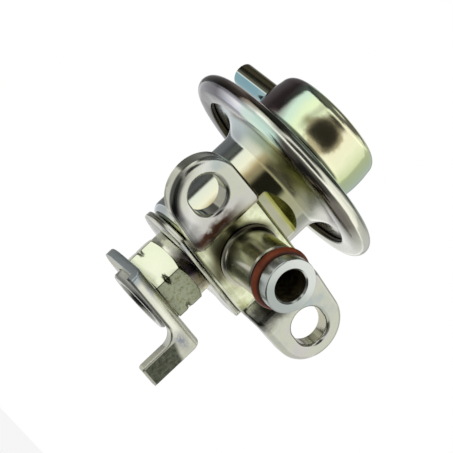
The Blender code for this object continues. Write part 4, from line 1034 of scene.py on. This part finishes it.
def joggle(first, inner, outer):
    """Return (x, depth) points of one joggle from the recessed middle out to the ear."""
    run = RECESS / math.tan(JOGGLE_ANGLE)
    half = math.tan(0.5 * JOGGLE_ANGLE)
    turn = math.degrees(JOGGLE_ANGLE)
    low = arc(first - inner * half, RECESS - inner, inner, 90.0, 90.0 - turn, 8)
    high = arc(first + run + outer * half, outer, outer, 270.0 - turn, 270.0, 12)
    return low + high


def depth_at(profile, place):
    """Interpolate a joggle profile at a distance from the middle."""
    if place <= profile[0][0]:
        return profile[0][1]
    for (x_low, d_low), (x_high, d_high) in zip(profile, profile[1:]):
        if place <= x_high:
            return d_low + (d_high - d_low) * (place - x_low) / (x_high - x_low)
    return profile[-1][1]


def bracket_outline():
    """Return the stamping's outline: a tall middle tapering to two round ears."""
    run = EAR_X - BRACKET_STRAIGHT
    reach = math.hypot(run, BRACKET_HALF_HEIGHT)
    lean = math.degrees(math.acos(EAR_RADIUS / reach) - math.atan2(run, BRACKET_HALF_HEIGHT))
    tangent = 90.0 - abs(lean)
    right = arc(EAR_X, 0.0, EAR_RADIUS, -tangent, tangent, 56)
    left = arc(-EAR_X, 0.0, EAR_RADIUS, 180.0 - tangent, 180.0 + tangent, 56)
    top = [(BRACKET_STRAIGHT, BRACKET_HALF_HEIGHT), (-BRACKET_STRAIGHT, BRACKET_HALF_HEIGHT)]
    bottom = [(-x, -z) for x, z in top]
    return right + top + left + bottom


def slot_cutter(name, centre_x):
    """Loft a slot through an ear, its front edge flared by a quarter round."""
    rows = [(SLOT_EDGE, -CUT_OVER)]
    for step in range(9):
        angle = math.radians(90.0 * step / 8)
        rows.append((SLOT_EDGE * (1.0 - math.sin(angle)), SLOT_EDGE * (1.0 - math.cos(angle))))
    rows.append((0.0, BRACKET_THICK + CUT_OVER))
    shape = bmesh.new()
    loops = []
    half = 0.5 * (SLOT_LENGTH - SLOT_HEIGHT)
    for grow, depth in rows:
        radius = 0.5 * SLOT_HEIGHT + grow
        outline = arc(half, 0.0, radius, -90.0, 90.0, 40)
        outline += arc(-half, 0.0, radius, 90.0, 270.0, 40)
        loops.append([shape.verts.new((centre_x + x, depth, z)) for x, z in outline])
    for lower, upper in zip(loops, loops[1:]):
        for index in range(len(lower)):
            after = (index + 1) % len(lower)
            shape.faces.new((lower[index], lower[after], upper[after], upper[index]))
    shape.faces.new(loops[0])
    shape.faces.new(loops[-1])
    return as_object(name, shape)


def make_mounting_bracket(surface):
    """Thick stamping: slotted ears in front of a recessed middle."""
    front = joggle(JOGGLE_START, JOGGLE_INNER_RADIUS, JOGGLE_OUTER_RADIUS)
    shift = BRACKET_THICK * math.tan(0.5 * JOGGLE_ANGLE)
    back = joggle(JOGGLE_START + shift, JOGGLE_OUTER_RADIUS, JOGGLE_INNER_RADIUS)
    shape = swept([(x, 0.0, z) for x, z in bracket_outline()], (0, BRACKET_THICK, 0))
    places = [x for x, _ in front + back]
    stations(shape, 0, [-x for x in places] + places)
    for vert in shape.verts:
        vert.tag = vert.co.y < 0.5 * BRACKET_THICK
        vert.co.y += depth_at(front if vert.tag else back, abs(vert.co.x))
    round_face_edges(shape, BRACKET_EDGE, 7)
    bracket = as_object("bracket", shape)
    combine(bracket, slot_cutter("left_slot", -EAR_X))
    combine(bracket, slot_cutter("right_slot", EAR_X))
    back_face = -RECESS - BRACKET_THICK
    combine(bracket, along_pipe(drill("pipe_drill", SPIGOT_HOLE, back_face - CUT_OVER, CUT_OVER)))
    return finished(bracket, surface, "mounting_bracket", 32.0)


def make_shelf_plate(surface):
    """Thin plate with a straight front and a rounded tab."""
    front = -SHELF_FRONT
    back = front + SHELF_TAB_WIDTH
    corner = SHELF_TAB_CORNER
    left = math.degrees(math.atan2(front, -math.sqrt(SHELF_RADIUS ** 2 - front ** 2)))
    right = math.degrees(math.asin(back / SHELF_RADIUS))
    outline = arc(SHELF_TAB_END - corner, front + corner, corner, -90.0, 0.0, 12)
    outline += arc(SHELF_TAB_END - corner, back - corner, corner, 0.0, 90.0, 12)
    outline += arc(0.0, 0.0, SHELF_RADIUS, right, left + 360.0, 96)
    shape = swept([(x, y, SHELF_UNDER_Z) for x, y in outline], (0, 0, SHELF_THICK))
    plate = on_main_axis(as_object("shelf", shape))
    edge_break(plate, SHELF_EDGE, 3, 50.0)
    combine(plate, on_main_axis(drill("shelf_drill", TAIL_HOLE, SHELF_UNDER_Z - CUT_OVER,
                                      SHELF_TOP_Z + CUT_OVER)))
    return finished(plate, surface, "shelf_plate")


def make_union_fitting(surface):
    """Neck, grooved hexagon, boss and port."""
    corner = 0.5 * HEX_ACROSS_FLATS / math.cos(math.radians(30.0))
    chamfer = (corner - NECK_RADIUS) * math.tan(HEX_CHAMFER)
    groove_z = HEX_TOP_Z - GROOVE_DROP
    groove_half = corner - GROOVE_FLOOR
    port_top = BOSS_UNDER_Z + PORT_DEPTH
    drill_tip = port_top + (PORT_RADIUS - RETURN_RADIUS) * math.tan(math.radians(30.0))
    socket = SEAT_TUBE_RADIUS + BORE_GAP
    past = 0.25 * CUT_OVER
    outline = [(socket, STAKE_TOP), (STAKE_RADIUS, STAKE_TOP), (STAKE_RADIUS, STAKE_UNDER),
               (TAIL_RADIUS, STAKE_UNDER), (TAIL_RADIUS, NECK_TOP_Z), (NECK_RADIUS, NECK_TOP_Z),
               (NECK_RADIUS, HEX_TOP_Z),
               (corner + past, HEX_TOP_Z - chamfer - past * math.tan(HEX_CHAMFER)),
               (corner + past, groove_z + groove_half + past),
               (GROOVE_FLOOR, groove_z),
               (corner + past, groove_z - groove_half - past),
               (corner + past, HEX_UNDER_Z), (BOSS_RADIUS, HEX_UNDER_Z),
               (BOSS_RADIUS, BOSS_UNDER_Z + BOSS_EDGE), (BOSS_RADIUS - BOSS_EDGE, BOSS_UNDER_Z),
               (PORT_RADIUS + PORT_CHAMFER, BOSS_UNDER_Z),
               (PORT_RADIUS, BOSS_UNDER_Z + PORT_CHAMFER), (PORT_RADIUS, port_top),
               (RETURN_RADIUS, drill_tip), (RETURN_RADIUS, SOCKET_FLOOR), (socket, SOCKET_FLOOR)]
    fitting = on_main_axis(turned("fitting", outline))
    first = math.degrees(HEX_TURN)
    hexagon = [(x, y, BOSS_UNDER_Z - CUT_OVER)
               for x, y in arc(0.0, 0.0, corner, first, first + 300.0, 5)]
    rise = STAKE_TOP - BOSS_UNDER_Z + 2.0 * CUT_OVER
    shaper = on_main_axis(as_object("hexagon_shaper", swept(hexagon, (0, 0, rise))))
    combine(fitting, shaper, "INTERSECT")
    edge_break(fitting, 0.00012, 2, 25.0)
    return finished(fitting, surface, "union_fitting", 30.0)


def helical_ridge(surface):
    """Return a node group that winds a ridge of square section round the local Z axis."""
    tree = bpy.data.node_groups.new("helical_ridge", "GeometryNodeTree")
    for name in ("Radius", "Pitch", "Turns", "Ridge"):
        tree.interface.new_socket(name, in_out="INPUT", socket_type="NodeSocketFloat")
    tree.interface.new_socket("Geometry", in_out="OUTPUT", socket_type="NodeSocketGeometry")
    start = tree.nodes.new("NodeGroupInput").outputs

    def add(kind, links, **values):
        made = tree.nodes.new(kind)
        for key, value in values.items():
            made.inputs[key.replace("_", " ")].default_value = value
        for key, socket in links.items():
            tree.links.new(socket, made.inputs[key])
        return made

    rise = tree.nodes.new("ShaderNodeMath")
    rise.operation = "MULTIPLY"
    tree.links.new(start["Pitch"], rise.inputs[0])
    tree.links.new(start["Turns"], rise.inputs[1])
    path = add("GeometryNodeCurveSpiral", {"Rotations": start["Turns"],
                                           "Start Radius": start["Radius"],
                                           "End Radius": start["Radius"],
                                           "Height": rise.outputs[0]}, Resolution=72)
    section = add("GeometryNodeCurvePrimitiveCircle", {"Radius": start["Ridge"]}, Resolution=4)
    ridge = add("GeometryNodeCurveToMesh", {"Curve": path.outputs[0],
                                            "Profile Curve": section.outputs[0]}, Fill_Caps=True)
    whole = add("GeometryNodeRealizeInstances", {"Geometry": ridge.outputs[0]})
    coated = add("GeometryNodeSetMaterial", {"Geometry": whole.outputs[0]}, Material=surface)
    end = tree.nodes.new("NodeGroupOutput")
    tree.links.new(coated.outputs[0], end.inputs["Geometry"])
    return tree


def make_port_thread(surface):
    """Thread of the return port, a right-hand ridge on its wall."""
    item = stood("thread", bpy.data.meshes.new("thread"))
    item.location = (0.0, AXIS_Y, BOSS_UNDER_Z + PORT_CHAMFER + THREAD_RIDGE)
    step = item.modifiers.new("thread", "NODES")
    step.node_group = helical_ridge(surface)
    values = {"Radius": PORT_RADIUS, "Pitch": THREAD_PITCH, "Turns": THREAD_TURNS,
              "Ridge": THREAD_RIDGE}
    for socket in step.node_group.interface.items_tree:
        if socket.in_out == "INPUT":
            step[socket.identifier] = values[socket.name]
    return finished(item, surface, "union_fitting", 30.0, "_thread")


def make_stopper_bracket(surface):
    """Ring plate bent down into a flange with one long tab."""
    start = STOPPER_FACE - STOPPER_BEND
    bend_length = 0.5 * math.pi * STOPPER_BEND
    stop = start + bend_length
    half = STOPPER_HALF_WIDTH
    flange = stop + STOPPER_FLANGE - STOPPER_BEND
    tab = stop + TAB_LENGTH - STOPPER_BEND
    inner = half - TAB_WIDTH
    outline = [(-half, flange)]
    outline += arc(inner - TAB_FILLET, flange + TAB_FILLET, TAB_FILLET, -90.0, 0.0, 16)
    outline += arc(inner + TAB_CORNER, tab - TAB_CORNER, TAB_CORNER, 180.0, 90.0, 8)
    outline += [(half, tab)]
    outline += arc(0.0, 0.0, half, 0.0, -180.0, 96)
    shape = swept([(x, 0.0, z) for x, z in outline], (0, STOPPER_THICK, 0))
    stations(shape, 2, [start + bend_length * step / 16 for step in range(17)])
    for vert in shape.verts:
        run = vert.co.z
        radius = STOPPER_BEND - vert.co.y
        vert.tag = vert.co.y < 0.5 * STOPPER_THICK
        angle = min(max((run - start) / STOPPER_BEND, 0.0), 0.5 * math.pi)
        vert.co.y = -(min(run, start) + radius * math.sin(angle))
        vert.co.z = STOPPER_TOP_Z - STOPPER_BEND + radius * math.cos(angle) - max(run - stop, 0.0)
    round_face_edges(shape, STOPPER_EDGE, 5)
    stopper = on_main_axis(as_object("stopper", shape))
    combine(stopper, on_main_axis(drill("boss_drill", BOSS_RADIUS + BORE_GAP,
                                        STOPPER_UNDER_Z - CUT_OVER,
                                        STOPPER_TOP_Z + CUT_OVER, 2 * DRILL_ROUND)))
    return finished(stopper, surface, "stopper_bracket", 32.0)


def upright(turn, rise):
    """Return a direction from the object, turned and raised from the camera's own."""
    angle = CAMERA_AZIMUTH + math.radians(turn)
    lift = math.radians(rise)
    return Vector((math.sin(angle) * math.cos(lift), -math.cos(angle) * math.cos(lift),
                   math.sin(lift)))


def make_camera():
    """Put the camera where the photograph was taken from."""
    toward = upright(0.0, math.degrees(CAMERA_ELEVATION))
    across = (-toward).cross(Vector((0, 0, 1))).normalized()
    above = across.cross(-toward).normalized()
    right = across * math.cos(CAMERA_TURN) + above * math.sin(CAMERA_TURN)
    up = above * math.cos(CAMERA_TURN) - across * math.sin(CAMERA_TURN)
    data = bpy.data.cameras.new("camera")
    data.sensor_width = CAMERA_SENSOR
    data.lens = CAMERA_LENS
    data.clip_start = CAMERA_NEAR
    camera = stood("camera", data)
    camera.matrix_world = Matrix((
        (right.x, up.x, toward.x, CAMERA_PLACE.x),
        (right.y, up.y, toward.y, CAMERA_PLACE.y),
        (right.z, up.z, toward.z, CAMERA_PLACE.z),
        (0.0, 0.0, 0.0, 1.0)))
    bpy.context.scene.camera = camera


def make_studio():
    """White surround; metal sees soft boxes with dark gaps, by turn and rise in degrees."""
    scene = bpy.context.scene
    scene.view_settings.view_transform = "Standard"
    world = bpy.data.worlds.new("studio")
    scene.world = world
    world.use_nodes = True
    room = Nodes(world.node_tree)
    room.tree.nodes.clear()
    direction = room.add("ShaderNodeTexCoord").outputs["Generated"]

    def along(aim):
        made = room.add("ShaderNodeVectorMath", {"operation": "DOT_PRODUCT"},
                        {0: direction, 1: tuple(aim)})
        return Value(room, made.outputs["Value"])

    turn = along(upright(90.0, 0.0)).math("ARCTAN2", along(upright(0.0, 0.0))) * DEGREES
    rise = along((0.0, 0.0, 1.0)).math("ARCSINE") * DEGREES

    def window(value, low, high, soft):
        return value.step(low - soft, low + soft) * value.step(high + soft, high - soft)

    left = window(turn, -82.0, -24.0, 3.0) * (1.0 - turn.step(-44.0, -30.0) * 0.4)
    right = window(turn, -24.0, 104.0, 4.0) * 0.95 + window(turn, 104.0, 160.0, 6.0) * 0.62
    back = turn.math("ABSOLUTE").step(158.0, 168.0) * 0.6
    back = back + window(turn, -162.0, -118.0, 8.0) * 0.22
    back = back + window(turn, -118.0, -90.0, 6.0) * 0.10
    sides = window(rise, -26.0, 37.0, 4.0) * left + window(rise, -26.0, 46.0, 4.0) * (right + back)
    wide = (turn - 8.0) / 31.0
    tall = (rise - 11.5) / 21.0
    camera = wide.length(tall).step(1.22, 0.72)
    high = window(turn, 28.0, 136.0, 8.0) * window(rise, 43.0, 60.0, 5.0) * 0.75
    light = sides * (1.0 - camera) + high + rise.step(45.0, 62.0) * 0.08
    light = light + rise.step(78.0, 86.0) * 0.6 + 0.035
    path = room.add("ShaderNodeLightPath")
    glossy = Value(room, path.outputs["Is Glossy Ray"])
    light = light * glossy + (1.0 - glossy) * 0.85
    seen = room.add("ShaderNodeBackground", None, {"Color": (1.0, 1.0, 1.0, 1.0), "Strength": 1.0})
    lit = room.add("ShaderNodeBackground", None, {"Color": (1.0, 1.0, 1.0, 1.0),
                                                  "Strength": light})
    both = room.add("ShaderNodeMixShader", None, {0: path.outputs["Is Camera Ray"],
                                                  1: lit.outputs[0], 2: seen.outputs[0]})
    out = room.add("ShaderNodeOutputWorld")
    room.tree.links.new(both.outputs[0], out.inputs["Surface"])


def make_floor():
    """Pale floor, well below the part; metal sees it bright, with a dark patch ahead."""
    shape = bmesh.new()
    shape.faces.new([shape.verts.new((x * FLOOR_REACH, y * FLOOR_REACH, FLOOR_Z))
                     for x, y in ((-1, -1), (1, -1), (1, 1), (-1, 1))])
    mesh = bpy.data.meshes.new("floor")
    shape.to_mesh(mesh)
    shape.free()
    finish = Finish("pale_floor", metallic=0.0, Roughness=0.8)
    drift = finish.cloud(8.0, 2.0)
    finish.film = finish.ramp(drift, [(0.0, 0.80, 0.80, 0.80), (1.0, 0.84, 0.84, 0.84)])
    finish.put()
    x, y, _ = finish.axes()
    turn = turn_of(x, y)
    reach = x.length(y)
    dark = turn.band(32.0, 36.0, 6.0) * reach.step(0.20, 0.14)
    dark = dark.math("MAXIMUM", reach.step(0.07, 0.03))
    dim = turn.band(16.0, 46.0, 10.0) * reach.step(0.75, 0.45)
    level = 0.82 - (dark * 0.76).math("MAXIMUM", dim * 0.60) + reach.step(0.8, 1.6) * 0.25
    path = finish.add("ShaderNodeLightPath")
    camera = Value(finish, path.outputs["Is Camera Ray"])
    glossy = Value(finish, path.outputs["Is Glossy Ray"])
    glow = finish.add("ShaderNodeEmission", None, {"Color": (1, 1, 1, 1),
                                                   "Strength": camera + glossy * level})
    both = finish.add("ShaderNodeMixShader", None, {0: camera * 0.75 + glossy,
                                                    1: finish.shader.outputs[0],
                                                    2: glow.outputs[0]})
    out = finish.tree.nodes["Material Output"]
    finish.tree.links.new(both.outputs[0], out.inputs["Surface"])
    mesh.materials.append(finish.material)
    stood("floor", mesh)


def follow_lift(entry, surface):
    """Stand a merged copy of a soft solid in its place, with a mesh of its own."""
    node, fixed = entry["node"], entry["fixed_end_z_m"]
    solid = frame["nodes"][node]
    shape = bmesh.new()
    shape.from_mesh(solid.data)
    item = as_object(node + "_copy", shape)
    item.matrix_world = solid.matrix_world
    piece = finished(item, surface, node)
    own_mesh(piece)


def dress(node, surface):
    """Give a solid that stays its own finish."""
    mesh = frame["nodes"][node].data
    mesh.materials.clear()
    mesh.materials.append(surface)


def main():
    """Make every surface, the studio and the camera."""
    satin = silver_zinc()
    wire = spring_wire()
    ground = ground_steel()
    make_spring_cover(yellow_chromate())
    make_vacuum_nipple(dark_tube())
    make_lower_body(green_chromate())
    make_inlet_pipe(turned_zinc())
    make_o_ring(rust_rubber())
    make_mounting_bracket(satin)
    make_shelf_plate(shelf_zinc())
    union = hexagon_zinc()
    make_union_fitting(union)
    make_port_thread(union)
    make_stopper_bracket(stopper_zinc())
    joint = frame["record"]["behaviour"]["joints"][0]
    soft = {"diaphragm": coated_fabric(), "pressure_spring": wire}
    for entry in joint["deforming_nodes"]:
        follow_lift(entry, soft[entry["node"]])
    for node in ("spring_seat", "spring_plate", "valve_plate",
                 "rivet_washer", "ball_spring"):
        dress(node, wire)
    for node in ("valve_holder", "valve_ball", "ball_retainer", "seat_tube"):
        dress(node, ground)
    make_floor()
    make_studio()
    make_camera()


main()
